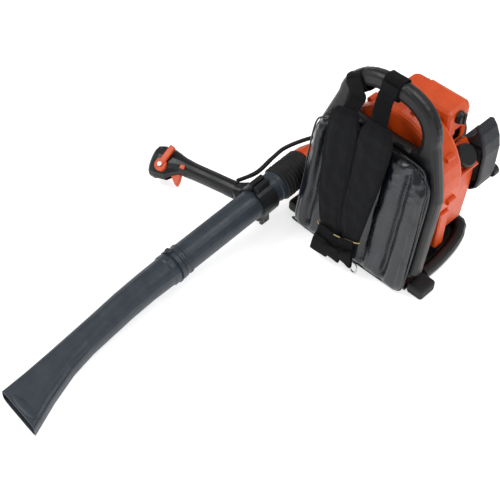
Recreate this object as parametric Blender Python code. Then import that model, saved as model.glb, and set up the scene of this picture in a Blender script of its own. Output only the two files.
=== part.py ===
"""Backpack leaf blower: back frame, fan case, two-stroke engine and swivelling blow tube.

Metres, +Z up.  X is to the right of someone facing the back pad, +Y runs from the pad
back to the engine.  The origin is the middle of the base's underside.
"""
import math

import bmesh
import bpy
from mathutils import Matrix, Vector

# ------------------------------------------------------------------ driving sizes
GAP = 0.0003                 # clearance between pieces that touch
FRAME_LEAN = math.radians(8.5)
FRAME_HEIGHT = 0.455         # along the leaning frame, floor to the top of the arch
FRAME_HALF_WIDTH = 0.166
FRAME_DEPTH = 0.034
FRAME_FOOT = 0.0125          # lower edge of the frame above the floor
ARCH_BAND = 0.038            # width of the carrying handle's band
NECK_STEP = 0.038            # how far the shoulders draw in below the arch
SHOULDER_HEIGHT = 0.258
WINDOW_SILL = 0.330
BASE_PLATE = 0.009
BASE_REAR = 0.245
RAIL_RADIUS = 0.0145
PAD_THICKNESS = 0.030

FAN_CENTRE_Z = 0.226
FAN_FRONT_Y = 0.070
FAN_DEPTH = 0.070
FAN_WALL = 0.004
SCROLL_SMALL = 0.118         # scroll radius beside the outlet's tongue
SCROLL_LARGE = 0.170         # scroll radius at the outlet
DUCT_HALF = 0.039            # half height of the outlet duct
DUCT_END_X = -0.136
IMPELLER_RADIUS = 0.100
VANE_COUNT = 12

TUBE_OFFSET_X = -0.209       # centre line of the blow tube
TUBE_RADIUS = 0.0335
TUBE_WALL = 0.0022
TUBE_SLOPE = math.radians(4.6)
ELBOW_RADIUS = 0.057
ELBOW_PIPE = 0.0375
BELLOWS_START = 0.0585       # distances along the tube from the elbow's pivot
BELLOWS_END = 0.142
TUBE_START = 0.118
TUBE_END = 0.462
JOINT_LENGTH = 0.030
CLAMP_AT = 0.196
NOZZLE_WALL = 0.0024
MOUTH_HALF_WIDTH = 0.058
MOUTH_HALF_HEIGHT = 0.017

GRIP_LENGTH = 0.192
GRIP_RADIUS = 0.0195
GRIP_RAKE = math.radians(14.0)
GRIP_DROOP = math.radians(6.5)
GRIP_ROLL = math.radians(35.0)
LEVER_ANGLE = 162.0
GRIP_START = 0.060           # from the tube's centre line
HUB_RADIUS = 0.0150

CRANK_Z = FAN_CENTRE_Z
CRANK_THROW = 0.013
BORE_RADIUS = 0.020
WEB_RADIUS = 0.019
FIN_COUNT = 4
TANK_CAP_RADIUS = 0.0255

FAN_REAR_Y = FAN_FRONT_Y + FAN_DEPTH
FAN_MID_Y = FAN_FRONT_Y + FAN_DEPTH / 2
DUCT_Z = FAN_CENTRE_Z - SCROLL_LARGE + DUCT_HALF
PIVOT = Vector((TUBE_OFFSET_X, FAN_MID_Y, DUCT_Z))
EDGEWAYS = Matrix(((0, 0, 1, 0), (1, 0, 0, 0), (0, 1, 0, 0), (0, 0, 0, 1)))  # X, Y to Y, Z

ORANGE = ((0.86, 0.085, 0.012), 0.38, 0.0)
BLACK = ((0.012, 0.013, 0.015), 0.45, 0.0)
VINYL = ((0.016, 0.020, 0.027), 0.25, 0.0)
CLOTH = ((0.010, 0.011, 0.013), 0.85, 0.0)
TUBE_GREY = ((0.055, 0.068, 0.085), 0.5, 0.0)
RUBBER = ((0.015, 0.015, 0.016), 0.8, 0.0)
DARK_GREY = ((0.030, 0.034, 0.040), 0.5, 0.0)
ALUMINIUM = ((0.62, 0.62, 0.61), 0.4, 1.0)
STEEL = ((0.55, 0.55, 0.55), 0.3, 1.0)
IRON = ((0.10, 0.10, 0.10), 0.6, 0.9)
BRASS = ((0.75, 0.60, 0.28), 0.4, 1.0)
BULB_PINK = ((0.80, 0.30, 0.32), 0.2, 0.0)
WHITE = ((0.85, 0.85, 0.84), 0.6, 0.0)
TAN = ((0.60, 0.48, 0.22), 0.7, 0.0)
FOAM = ((0.05, 0.05, 0.05), 0.95, 0.0)


# ------------------------------------------------------------------ helpers
def clear_scene():
    for obj in list(bpy.data.objects):
        bpy.data.objects.remove(obj, do_unlink=True)


def make_material(name, look):
    colour, rough, metal = look
    mat = bpy.data.materials.new(name)
    mat.use_nodes = True
    shader = mat.node_tree.nodes["Principled BSDF"]
    shader.inputs["Base Color"].default_value = (*colour, 1.0)
    shader.inputs["Roughness"].default_value = rough
    shader.inputs["Metallic"].default_value = metal
    return mat


def place(name, bm, look, matrix=None, origin=None, sharp=35.0):
    """Turn a bmesh into a named object; its own origin is put at the given world point."""
    if matrix is not None:
        bmesh.ops.transform(bm, matrix=matrix, verts=bm.verts)
    bmesh.ops.recalc_face_normals(bm, faces=bm.faces)
    if bm.calc_volume(signed=True) < 0:
        bmesh.ops.reverse_faces(bm, faces=bm.faces)
    if origin is not None:
        bmesh.ops.translate(bm, vec=-Vector(origin), verts=bm.verts)
    mesh = bpy.data.meshes.new(name)
    bm.to_mesh(mesh)
    bm.free()
    mesh.shade_smooth()
    mesh.set_sharp_from_angle(angle=math.radians(sharp))
    obj = bpy.data.objects.new(name, mesh)
    bpy.context.scene.collection.objects.link(obj)
    if origin is not None:
        obj.location = origin
    mesh.materials.append(make_material(name, look))
    return obj


def cutter(name, bm, matrix=None):
    obj = place(name, bm, BLACK, matrix)
    obj.hide_render = True
    obj.display_type = "WIRE"
    return obj


def combine(target, other, operation):
    mod = target.modifiers.new(operation.lower() + "_" + other.name, "BOOLEAN")
    mod.operation = operation
    mod.solver = "EXACT"
    mod.object = other
    return target


def cut(target, bm, name, matrix=None):
    return combine(target, cutter("cut_" + name, bm, matrix), "DIFFERENCE")


def join(target, bm, name, matrix=None):
    return combine(target, cutter("add_" + name, bm, matrix), "UNION")


def turn_to(direction, at=(0, 0, 0), up=(0, 0, 1)):
    """Matrix that carries local +Z onto a direction, with its origin at a point."""
    z = Vector(direction).normalized()
    x = Vector(up).cross(z)
    if x.length < 1e-6:
        x = Vector((1, 0, 0)).cross(z)
    if x.length < 1e-6:
        x = Vector((0, 1, 0)).cross(z)
    x.normalize()
    y = z.cross(x)
    turn = Matrix((x, y, z)).transposed().to_4x4()
    return Matrix.Translation(Vector(at)) @ turn


def lathe(profile, steps=24):
    """Closed solid turned about +Z from (radius, height) points that start and end on the axis,
    or a ring when the profile is a closed loop away from the axis."""
    bm = bmesh.new()
    on_axis = profile[0][0] < 1e-6 and profile[-1][0] < 1e-6
    verts = [bm.verts.new((r, 0, h)) for r, h in profile]
    edges = [bm.edges.new(pair) for pair in zip(verts, verts[1:])]
    if not on_axis:
        edges.append(bm.edges.new((verts[-1], verts[0])))
    bmesh.ops.spin(bm, geom=verts + edges, cent=(0, 0, 0), axis=(0, 0, 1),
                   angle=2 * math.pi, steps=steps, use_merge=True)
    bmesh.ops.remove_doubles(bm, verts=bm.verts, dist=1e-6)
    bmesh.ops.dissolve_degenerate(bm, dist=1e-7, edges=bm.edges)
    return bm


def rod(radius, length, steps=20, chamfer=0.0):
    c = chamfer
    if c:
        points = [(0, 0), (radius - c, 0), (radius, c), (radius, length - c),
                  (radius - c, length), (0, length)]
    else:
        points = [(0, 0), (radius, 0), (radius, length), (0, length)]
    return lathe(points, steps)


def ring(inner, outer, length, steps=24, chamfer=0.0):
    c = chamfer
    if c:
        points = [(inner, 0), (outer - c, 0), (outer, c), (outer, length - c),
                  (outer - c, length), (inner, length)]
    else:
        points = [(inner, 0), (outer, 0), (outer, length), (inner, length)]
    return lathe(points, steps)


def block(size, centre=(0, 0, 0), bevel=0.0, segments=2):
    bm = bmesh.new()
    bmesh.ops.create_cube(bm, size=1.0)
    bmesh.ops.scale(bm, vec=size, verts=bm.verts)
    if bevel:
        bmesh.ops.bevel(bm, geom=list(bm.edges), offset=bevel, segments=segments,
                        profile=0.5, affect="EDGES", material=-1)
    bmesh.ops.translate(bm, vec=centre, verts=bm.verts)
    return bm


def slab(outline, low, high, bevel=0.0, segments=2, inner=None):
    """Outline in X and Y (with an optional window) raised from low to high, rim bevelled."""
    bm = bmesh.new()

    def loop(points):
        verts = [bm.verts.new((x, y, low)) for x, y in points]
        return [bm.edges.new(pair) for pair in zip(verts, verts[1:] + verts[:1])]

    edges = loop(outline)
    if inner is None:
        bmesh.ops.contextual_create(bm, geom=edges)
    else:
        edges += loop(inner)
        bmesh.ops.triangle_fill(bm, use_beauty=True, use_dissolve=True, edges=edges)
    raised = bmesh.ops.extrude_face_region(bm, geom=list(bm.faces), use_keep_orig=True)["geom"]
    top = [part for part in raised if isinstance(part, bmesh.types.BMVert)]
    bmesh.ops.translate(bm, vec=(0, 0, high - low), verts=top)
    bmesh.ops.recalc_face_normals(bm, faces=bm.faces)
    if bevel:
        lips = [e for e in bm.edges if len(e.link_faces) == 2
                and e.calc_face_angle(0) > math.radians(60)
                and abs(e.verts[0].co.z - e.verts[1].co.z) < 1e-7]
        bmesh.ops.bevel(bm, geom=lips, offset=bevel, segments=segments, profile=0.5,
                        affect="EDGES", material=-1)
    return bm


def arc(cx, cy, radius, start, end, steps):
    return [(cx + radius * math.cos(math.radians(start + (end - start) * k / steps)),
             cy + radius * math.sin(math.radians(start + (end - start) * k / steps)))
            for k in range(steps + 1)]


def upright(y):
    """Matrix that stands an X-Y outline up in X-Z, its height axis running toward -Y from y."""
    return Matrix.Translation((0, y, 0)) @ Matrix.Rotation(math.radians(90), 4, "X")


def leaning(off):
    """Matrix for outlines of the leaning frame: local X, Y are across and up the frame,
    local +Z runs forward (toward the operator) from the given offset behind the frame."""
    return Matrix.Rotation(-FRAME_LEAN, 4, "X") @ upright(off)


def tube_matrix(s=0.0):
    """Local +Z runs out along the blow tube, local +X is world +X, from s past the pivot."""
    turn = Matrix.Rotation(math.radians(90) + TUBE_SLOPE, 4, "X")
    return Matrix.Translation(PIVOT) @ turn @ Matrix.Translation((0, 0, s))


def skin(rings, closed_ends=True):
    """Closed body over a list of equal rings of points."""
    bm = bmesh.new()
    rows = [[bm.verts.new(p) for p in points] for points in rings]
    count = len(rows[0])
    for a, b in zip(rows, rows[1:]):
        for k in range(count):
            bm.faces.new((a[k], a[(k + 1) % count], b[(k + 1) % count], b[k]))
    if closed_ends:
        bm.faces.new(rows[0])
        bm.faces.new(rows[-1])
    else:
        for k in range(count):
            bm.faces.new((rows[-1][k], rows[-1][(k + 1) % count],
                          rows[0][(k + 1) % count], rows[0][k]))
    bmesh.ops.recalc_face_normals(bm, faces=bm.faces)
    return bm


def hose(name, points, radius, look, resolution=2):
    data = bpy.data.curves.new(name, "CURVE")
    data.dimensions = "3D"
    data.bevel_depth = radius
    data.bevel_resolution = resolution
    data.use_fill_caps = True
    data.resolution_u = 1
    data.render_resolution_u = 0
    spline = data.splines.new("POLY")
    spline.points.add(len(points) - 1)
    for point, co in zip(spline.points, points):
        point.co = (*co, 1.0)
    data.materials.append(make_material(name, look))
    obj = bpy.data.objects.new(name, data)
    bpy.context.scene.collection.objects.link(obj)
    return obj


def smooth_path(points, steps):
    """Catmull-Rom curve through the points."""
    pts = [Vector(p) for p in points]
    pts = [pts[0] * 2 - pts[1]] + pts + [pts[-1] * 2 - pts[-2]]
    out = []
    for k in range(1, len(pts) - 2):
        p0, p1, p2, p3 = pts[k - 1:k + 3]
        for j in range(steps):
            t = j / steps
            out.append(0.5 * (2 * p1 + (p2 - p0) * t + (2 * p0 - 5 * p1 + 4 * p2 - p3) * t * t
                              + (3 * p1 - p0 - 3 * p2 + p3) * t ** 3))
    out.append(pts[-2])
    return out


# ------------------------------------------------------------------ back frame and base
def frame_outline(shrink=0.0, foot=FRAME_FOOT):
    """Outer edge of the frame, going round from the lower right corner."""
    half = FRAME_HALF_WIDTH - shrink
    top = FRAME_HEIGHT - shrink
    neck_z = SHOULDER_HEIGHT + 0.105
    neck = FRAME_HALF_WIDTH - NECK_STEP - shrink
    right = [(half - 0.040, foot), (half, foot + 0.040), (half, SHOULDER_HEIGHT - 0.012),
             (half - 0.006, SHOULDER_HEIGHT + 0.010), (neck, neck_z)]
    arch = [(neck * math.cos(math.radians(a)) ** 0.85,
             neck_z + (top - neck_z) * math.sin(math.radians(a))) for a in range(10, 90, 8)]
    right += arch
    return right + [(0, top)] + [(-x, y) for x, y in reversed(right)]


def window_outline():
    half = FRAME_HALF_WIDTH - NECK_STEP - ARCH_BAND * 1.02
    top = FRAME_HEIGHT - ARCH_BAND
    spring = WINDOW_SILL + 0.030
    right = [(half - 0.016, WINDOW_SILL), (half - 0.003, WINDOW_SILL + 0.008),
             (half + 0.001, WINDOW_SILL + 0.020)]
    right += [(half * math.cos(math.radians(a)) ** 0.8,
               spring + (top - spring) * math.sin(math.radians(a))) for a in range(10, 90, 10)]
    return right + [(0, top)] + [(-x, y) for x, y in reversed(right)]


def back_frame():
    obj = place("back_frame",
                slab(frame_outline(), 0, FRAME_DEPTH, bevel=0.012, segments=3,
                     inner=window_outline()),
                BLACK, leaning(FRAME_DEPTH / 2 + 0.001))
    half = FRAME_HALF_WIDTH - 0.020
    pocket = [(half - 0.030, 0.036), (half, 0.066), (half, SHOULDER_HEIGHT),
              (half - 0.026, WINDOW_SILL - 0.024)]
    pocket += [(-x, y) for x, y in reversed(pocket)]
    cut(obj, slab(pocket, -0.01, 0.018), "frame_pocket", leaning(FRAME_DEPTH / 2 + 0.001))
    return obj


def base_tray():
    front = FRAME_HALF_WIDTH - 0.0165
    mid = RAIL_RADIUS + 0.0005
    outline = [(front, -0.010), (front, 0.060), (0.136, 0.170), (0.116, 0.215), (0.090, 0.232)]
    outline += [(-x, y) for x, y in reversed(outline)]
    obj = place("base_tray", slab(outline, 0, BASE_PLATE, bevel=0.002, segments=1), BLACK)
    side = FRAME_HALF_WIDTH - 0.0135
    route = [(side, 0.046, mid), (side - 0.001, 0.100, mid), (side - 0.010, 0.165, mid),
             (side - 0.028, 0.212, mid), (side - 0.060, BASE_REAR - 0.016, mid)]
    route += [(-x, y, z) for x, y, z in reversed(route)]
    path = smooth_path(route, 3)
    steps = 12
    rings = []
    for k, p in enumerate(path):
        ahead = path[min(k + 1, len(path) - 1)] - path[max(k - 1, 0)]
        side_way = Vector((ahead.y, -ahead.x, 0)).normalized()
        rings.append([p + side_way * RAIL_RADIUS * math.cos(2 * math.pi * (j + 0.5) / steps)
                      + Vector((0, 0, RAIL_RADIUS * math.sin(2 * math.pi * (j + 0.5) / steps)))
                      for j in range(steps)])
    return join(obj, skin(rings), "base_rail")


def feet():
    for name, side in (("foot_front_right", 1), ("foot_front_left", -1)):
        x0 = FRAME_HALF_WIDTH - 0.0145
        place(name, block((0.042, 0.050, 0.030), (side * (x0 + 0.021), 0.015, 0.015), 0.007),
              RUBBER)


def pad_outline():
    half = FRAME_HALF_WIDTH - 0.005
    right = [(half - 0.018, 0.0005), (half - 0.004, 0.012), (half, 0.030),
             (half - 0.002, 0.150), (half - 0.008, SHOULDER_HEIGHT + 0.018),
             (half - 0.024, SHOULDER_HEIGHT + 0.046), (half - 0.058, WINDOW_SILL - 0.008)]
    return right + [(-x, y) for x, y in reversed(right)]


def back_pad():
    front = -(FRAME_DEPTH / 2 - 0.001) - GAP * 2
    place("back_pad", slab(pad_outline(), 0, PAD_THICKNESS, bevel=0.010, segments=2), VINYL,
          leaning(front))


def strap(name, points, half_width, thick):
    """Flat band swept along (across, forward, up) points given on the leaning frame."""
    lean = Matrix.Rotation(-FRAME_LEAN, 4, "X")
    pts = [Vector((u, -f, v)) for u, f, v in points]
    rings = []
    for k, p in enumerate(pts):
        ahead = (pts[min(k + 1, len(pts) - 1)] - pts[max(k - 1, 0)]).normalized()
        across = Vector((1, 0, 0))
        across = (across - ahead * across.dot(ahead)).normalized()
        out = across.cross(ahead).normalized()
        w, t = half_width[k], thick / 2
        ring_points = [(-w, -t * 0.6), (-w * 0.9, -t), (w * 0.9, -t), (w, -t * 0.6),
                       (w, t * 0.6), (w * 0.9, t), (-w * 0.9, t), (-w, t * 0.6)]
        rings.append([lean @ (p + across * a + out * b) for a, b in ring_points])
    return skin(rings)


def harness():
    face = FRAME_DEPTH / 2 + PAD_THICKNESS + 0.0005
    thick = 0.016
    left = [(-0.066, face + 0.011, 0.345), (-0.063, face + 0.010, 0.235),
            (-0.052, face + 0.010, 0.150), (-0.040, face + 0.011, 0.070),
            (-0.030, face + 0.012, 0.022)]
    right = [(0.021, face + 0.011, 0.352), (0.024, face + 0.010, 0.240),
             (0.021, face + 0.010, 0.150), (0.016, face + 0.011, 0.070),
             (0.018, face + 0.012, 0.028)]
    place("shoulder_strap_left", strap("l", left, [0.033, 0.031, 0.030, 0.029, 0.028], thick),
          CLOTH)
    place("shoulder_strap_right", strap("r", right, [0.036, 0.029, 0.024, 0.0205, 0.019], thick),
          CLOTH)
    lean = Matrix.Rotation(-FRAME_LEAN, 4, "X")
    for name, u, tilt in (("strap_loop_left", -0.077, -34), ("strap_loop_right", 0.006, 4)):
        band = FRAME_DEPTH / 2 + 0.0008
        reach = ARCH_BAND / 2 + 0.0045
        inner = [(-band, -reach), (band, -reach), (band, reach), (-band, reach)]
        outer = [(x * 1.14, y * 1.10) for x, y in inner]
        middle = frame_top_at(u) - ARCH_BAND * 0.5 / math.cos(math.radians(tilt)) - 0.001
        turn = Matrix.Rotation(math.radians(tilt), 4, "Y")
        stand = lean @ Matrix.Translation((u, 0.001, middle)) @ turn @ Matrix(
            ((0, 0, 1, 0), (1, 0, 0, 0), (0, 1, 0, 0), (0, 0, 0, 1)))
        place(name, slab(outer, -0.021, 0.021, inner=inner), CLOTH, stand)


def frame_top_at(u):
    """Height of the frame's outer edge at a place across the arch."""
    points = sorted(p for p in frame_outline() if p[1] > SHOULDER_HEIGHT)
    for (x0, y0), (x1, y1) in zip(points, points[1:]):
        if x0 <= u <= x1 and x1 > x0:
            return y0 + (y1 - y0) * (u - x0) / (x1 - x0)
    return FRAME_HEIGHT


def strap_hardware():
    face = FRAME_DEPTH / 2 + PAD_THICKNESS
    lean = Matrix.Rotation(-FRAME_LEAN, 4, "X")
    outline = [(-0.055, -0.0088), (0.059, -0.0088), (0.059, 0.0088), (-0.055, 0.0088)]
    outer = [(x * 1.03, y * 1.10) for x, y in outline]
    turn = lean @ Matrix.Translation((-0.018, -face - 0.0112, 0.078)) @ Matrix.Rotation(
        math.radians(-9), 4, "Y")
    place("strap_band", slab(outer, -0.003, 0.003, inner=outline), TAN, turn)
    top = lean @ Vector((0.040, -face - 0.0110, 0.026))
    link = slab(rounded_box(-0.009, 0.009, -0.029, 0.002, 0.0085, 4), -0.0015, 0.0015,
                inner=rounded_box(-0.0060, 0.0060, -0.026, -0.001, 0.0058, 4))
    place("strap_hook", link, STEEL, Matrix.Translation(top) @ upright(0), top)


# ------------------------------------------------------------------ fan
def scroll_growth(turn):
    """Share of the scroll's growth reached after a share of its turn."""
    stages = [(0.0, 0.0), (0.37, 0.40), (0.58, 0.47), (0.70, 0.55), (0.85, 0.75), (1.0, 1.0)]
    for (t0, g0), (t1, g1) in zip(stages, stages[1:]):
        if turn <= t1:
            return g0 + (g1 - g0) * (turn - t0) / (t1 - t0)
    return 1.0


def scroll_outline(shrink):
    """Volute seen from the pad side: grows clockwise from the tongue to the outlet at -X."""
    cx, cz = 0.0, FAN_CENTRE_Z
    points = []
    start, end = 196.0, -90.0
    steps = 26
    for k in range(steps + 1):
        a = start + (end - start) * k / steps
        r = SCROLL_SMALL + (SCROLL_LARGE - SCROLL_SMALL) * scroll_growth(k / steps) - shrink
        points.append((cx + r * math.cos(math.radians(a)), cz + r * math.sin(math.radians(a))))
    low = cz - SCROLL_LARGE + shrink
    high = low + 2 * DUCT_HALF - 2 * shrink
    points += [(-0.060, low), (DUCT_END_X, low), (DUCT_END_X, high), (-0.128, high),
               (-0.121, high + 0.012)]
    return points


def case_legs(case):
    """Two legs that carry the fan case on the front rubber mounts."""
    low = BASE_PLATE + 0.0204 + 2 * GAP
    for name, side, height in (("right", 1, 0.134), ("left", -1, 0.070)):
        leg = block((0.032, 0.030, height - low),
                    (side * 0.116, FAN_REAR_Y - 0.0165, (height + low) / 2), 0.003, 1)
        join(case, leg, "case_leg_" + name)


def case_half(name, wall_y, open_y):
    """One moulded half of the fan case, closed at wall_y and open at open_y."""
    forward = wall_y < open_y
    low, high = (0, abs(open_y - wall_y))
    stand = upright(wall_y)
    if forward:
        stand = stand @ Matrix.Scale(-1, 4, (0, 0, 1))
    bm = slab(scroll_outline(0), low, high)
    lips = [e for e in bm.edges if all(abs(v.co.z) < 1e-7 for v in e.verts)]
    bmesh.ops.bevel(bm, geom=lips, offset=0.009, segments=2, profile=0.5,
                    affect="EDGES", material=-1)
    obj = place(name, bm, ORANGE, stand)
    if not forward:
        case_legs(obj)
    cut(obj, slab(scroll_outline(FAN_WALL), FAN_WALL, high + 0.01), name + "_inside", stand)
    return obj


def fan_case():
    front = case_half("fan_case_front", FAN_FRONT_Y, FAN_MID_Y - GAP / 2)
    rear = case_half("fan_case_rear", FAN_REAR_Y, FAN_MID_Y + GAP / 2)
    along = Matrix.Rotation(math.radians(-90), 4, "X")
    cut(front, rod(0.068, 0.03, 28), "air_intake",
        Matrix.Translation((0, FAN_FRONT_Y - 0.015, FAN_CENTRE_Z)) @ along)
    cut(rear, rod(0.034, 0.03, 24), "crank_opening",
        Matrix.Translation((0, FAN_REAR_Y - 0.015, FAN_CENTRE_Z)) @ along)
    for obj, low, high in ((front, FAN_FRONT_Y, FAN_MID_Y), (rear, FAN_MID_Y, FAN_REAR_Y)):
        inside = [low + FAN_WALL, high + 0.01] if obj is front else [low - 0.01, high - FAN_WALL]
        cut(obj, block((0.03, inside[1] - inside[0], 2 * (DUCT_HALF - FAN_WALL)),
                       (DUCT_END_X, sum(inside) / 2, DUCT_Z)), obj.name + "_outlet")
        for k, angle in enumerate((128, 78, 30, -12, -52)):
            growth = scroll_growth((196 - angle) / 286)
            reach = SCROLL_SMALL + (SCROLL_LARGE - SCROLL_SMALL) * growth + 0.0015
            boss = rod(0.0070, 0.012, 10)
            x = reach * math.cos(math.radians(angle))
            z = FAN_CENTRE_Z + reach * math.sin(math.radians(angle))
            y = high - GAP / 2 - 0.012 if obj is front else low + GAP / 2
            join(obj, boss, f"{obj.name}_boss_{k}", Matrix.Translation((x, y, z)) @ along)


def intake_grille():
    along = Matrix.Rotation(math.radians(-90), 4, "X")
    at = Matrix.Translation((0, FAN_FRONT_Y - 0.0045, FAN_CENTRE_Z)) @ along
    obj = place("intake_grille", ring(0.064, 0.074, 0.004, 32), BLACK, at)
    for k, radius in enumerate((0.020, 0.042)):
        hoop = ring(radius - 0.0015, radius + 0.0015, 0.0034, 24)
        join(obj, hoop, f"grille_ring_{k}",
             at @ Matrix.Translation((0, 0, 0.0003)) @ Matrix.Rotation(0.05 + k, 4, "Z"))
    for k in range(3):
        bar = block((0.135, 0.004, 0.0028 - 0.0004 * k), (0, 0, 0.0020))
        join(obj, bar, f"grille_bar_{k}",
             at @ Matrix.Rotation(math.radians(60 * k + 7), 4, "Z"))


def impeller():
    along = Matrix.Rotation(math.radians(-90), 4, "X")
    centre = Vector((0, FAN_FRONT_Y + 0.010, FAN_CENTRE_Z))
    hub = lathe([(0, 0.046), (0, 0.012), (0.012, 0.012), (0.020, 0.020), (0.030, 0.040),
                 (IMPELLER_RADIUS - 0.004, 0.052), (IMPELLER_RADIUS - 0.004, 0.0545),
                 (0.028, 0.0545), (0.028, 0.046)], 24)
    obj = place("fan_impeller", hub, DARK_GREY, Matrix.Translation(centre) @ along, centre)
    for k in range(VANE_COUNT):
        angle = 2 * math.pi * k / VANE_COUNT
        outline = []
        for side in (-1, 1):
            part = []
            for j in range(5):
                r = 0.040 + (IMPELLER_RADIUS - 0.042) * j / 4
                a = angle - 0.5 * ((r - 0.040) / IMPELLER_RADIUS) ** 1.2
                part.append((r * math.cos(a) - side * 0.0011 * math.sin(a),
                             r * math.sin(a) + side * 0.0011 * math.cos(a)))
            outline += part if side < 0 else part[::-1]
        join(obj, slab(outline, 0.004, 0.053), f"vane_{k}", Matrix.Translation(centre) @ along)
    return obj


# ------------------------------------------------------------------ blow tube
def elbow():
    """Quarter bend that turns the outlet forward; it swivels on the fan case's outlet."""
    across = Matrix.Rotation(TUBE_SLOPE, 4, "X")
    start = DUCT_END_X - GAP - PIVOT.x
    rings = {}
    for which, radius in (("outer", ELBOW_PIPE), ("inner", ELBOW_PIPE - 0.003)):
        rows = []
        stations = [(start, 0.0, 0.0)]
        bend = ELBOW_RADIUS
        for k in range(8):
            a = math.radians(90 * k / 7)
            stations.append((bend - bend * math.sin(a), -(bend - bend * math.cos(a)), 90 * k / 7))
        for x, y, turn in stations:
            c, s = math.cos(math.radians(turn)), math.sin(math.radians(turn))
            row = []
            for j in range(20):
                b = 2 * math.pi * j / 20
                u, z = radius * math.cos(b), radius * math.sin(b)
                row.append(Vector((x + s * u, y - c * u, z)))
            rows.append(row)
        rings[which] = rows
    bm = skin(rings["outer"] + rings["inner"][::-1], closed_ends=False)
    place("outlet_elbow", bm, ORANGE, Matrix.Translation(PIVOT) @ across, PIVOT)


def outlet_collar():
    """Ring that joins the flat duct end of the fan case to the round elbow."""
    along = Matrix.Rotation(math.radians(90), 4, "Y")
    at = Matrix.Translation((DUCT_END_X - 0.0145, FAN_MID_Y, DUCT_Z)) @ along
    place("outlet_clamp", ring(ELBOW_PIPE + 0.0008, ELBOW_PIPE + 0.0035, 0.012, 24), BLACK, at)


def bellows():
    count = 6
    pitch = (BELLOWS_END - BELLOWS_START) / count
    outer = []
    for k in range(count):
        s = k * pitch
        outer += [(0.0368, s + 0.0005), (0.0405, s + pitch * 0.35), (0.0405, s + pitch * 0.65)]
    outer.append((0.0368, count * pitch))
    inner = [(r - 0.0020, s) for r, s in outer[::-1]]
    place("bellows_hose", lathe(outer + inner, 16), RUBBER, tube_matrix(BELLOWS_START))


def swivel_tube():
    r, w = TUBE_RADIUS, TUBE_WALL
    length = TUBE_END - BELLOWS_END - GAP
    profile = [(r - w, 0), (r + 0.002, 0), (r + 0.002, 0.010), (r, 0.012), (r, length - 0.034),
               (r + 0.0022, length - 0.032), (r + 0.0022, length - 0.028), (r, length - 0.026),
               (r, length - 0.020), (r + 0.0022, length - 0.018), (r + 0.0022, length - 0.014),
               (r, length - 0.012), (r, length), (r - w, length)]
    place("blow_tube", lathe(profile, 28), TUBE_GREY, tube_matrix(BELLOWS_END + GAP))


def joint_collar():
    r = TUBE_RADIUS
    obj = place("joint_collar", ring(r + GAP, r + 0.003, 0.010, 28), TUBE_GREY,
                tube_matrix(TUBE_END - 0.0115))
    for k, angle in enumerate((20, 200)):
        lug = block((0.016, 0.007, 0.010), (0, r + 0.0055, 0.005), 0.0015, 1)
        join(obj, lug, f"bayonet_lug_{k}",
             tube_matrix(TUBE_END - 0.0115) @ Matrix.Rotation(math.radians(angle), 4, "Z"))


def nozzle_stations():
    """(along the tube, drop, sideways, half width, half height, corner power)."""
    r = TUBE_RADIUS
    return [(0.000, 0.000, 0.000, r, r, 2.0),
            (0.006, 0.000, 0.000, r + 0.0022, r + 0.0022, 2.0),
            (0.016, 0.000, 0.000, r + 0.0022, r + 0.0022, 2.0),
            (0.020, 0.000, 0.000, r, r, 2.0),
            (0.075, 0.000, 0.000, r - 0.001, r - 0.001, 2.0),
            (0.135, 0.004, 0.000, r - 0.0015, r - 0.0025, 2.1),
            (0.195, 0.0085, 0.002, 0.0318, 0.0290, 2.2),
            (0.255, 0.0095, 0.006, 0.0318, 0.0260, 2.5),
            (0.315, 0.0085, 0.014, 0.0348, 0.0225, 3.0),
            (0.382, 0.0065, 0.028, 0.0440, 0.0190, 3.8),
            (0.449, 0.0035, 0.045, MOUTH_HALF_WIDTH, MOUTH_HALF_HEIGHT, 5.0)]


def nozzle():
    rows = {"outer": [], "inner": []}
    stations = nozzle_stations()
    for k, (s, drop, side, a, b, power) in enumerate(stations):
        before = stations[max(k - 1, 0)]
        after = stations[min(k + 1, len(stations) - 1)]
        ahead = Vector((after[2] - before[2], -(after[1] - before[1]), after[0] - before[0]))
        ahead.normalize()
        across = Vector((0, 1, 0)).cross(ahead).normalized()
        square = max(0.0, (s - 0.25) / 0.199)
        across = across.lerp(Vector((1, 0, 0.10)), square).normalized()
        up = ahead.cross(across).normalized()
        for which, thin in (("outer", 0.0), ("inner", NOZZLE_WALL)):
            ring_points = []
            for j in range(24):
                t = 2 * math.pi * (j + 0.5) / 24
                c, q = math.cos(t), math.sin(t)
                x = (a - thin) * math.copysign(abs(c) ** (2 / power), c)
                y = (b - thin) * math.copysign(abs(q) ** (2 / power), q)
                ring_points.append(Vector((side, -drop, s)) + across * x + up * y)
            rows[which].append(ring_points)
    bm = skin(rows["outer"] + rows["inner"][::-1], closed_ends=False)
    obj = place("blower_nozzle", bm, TUBE_GREY, tube_matrix(TUBE_END + GAP))
    return obj


# ------------------------------------------------------------------ control handle
def handle_matrix():
    """Local +Z runs out along the grip, +Y is the finger side and -X the thumb side."""
    tube = tube_matrix(CLAMP_AT)
    level, drop = math.cos(GRIP_DROOP), -math.sin(GRIP_DROOP)
    out = Vector((-math.cos(GRIP_RAKE) * level, math.cos(GRIP_RAKE) * drop,
                  math.sin(GRIP_RAKE)))
    toward = Vector((math.sin(GRIP_RAKE) * level, -math.sin(GRIP_RAKE) * drop,
                     math.cos(GRIP_RAKE)))
    side = toward.cross(out)
    turn = Matrix((side, toward, out)).transposed().to_4x4()
    return tube @ turn @ Matrix.Rotation(-GRIP_ROLL, 4, "Z")


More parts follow.
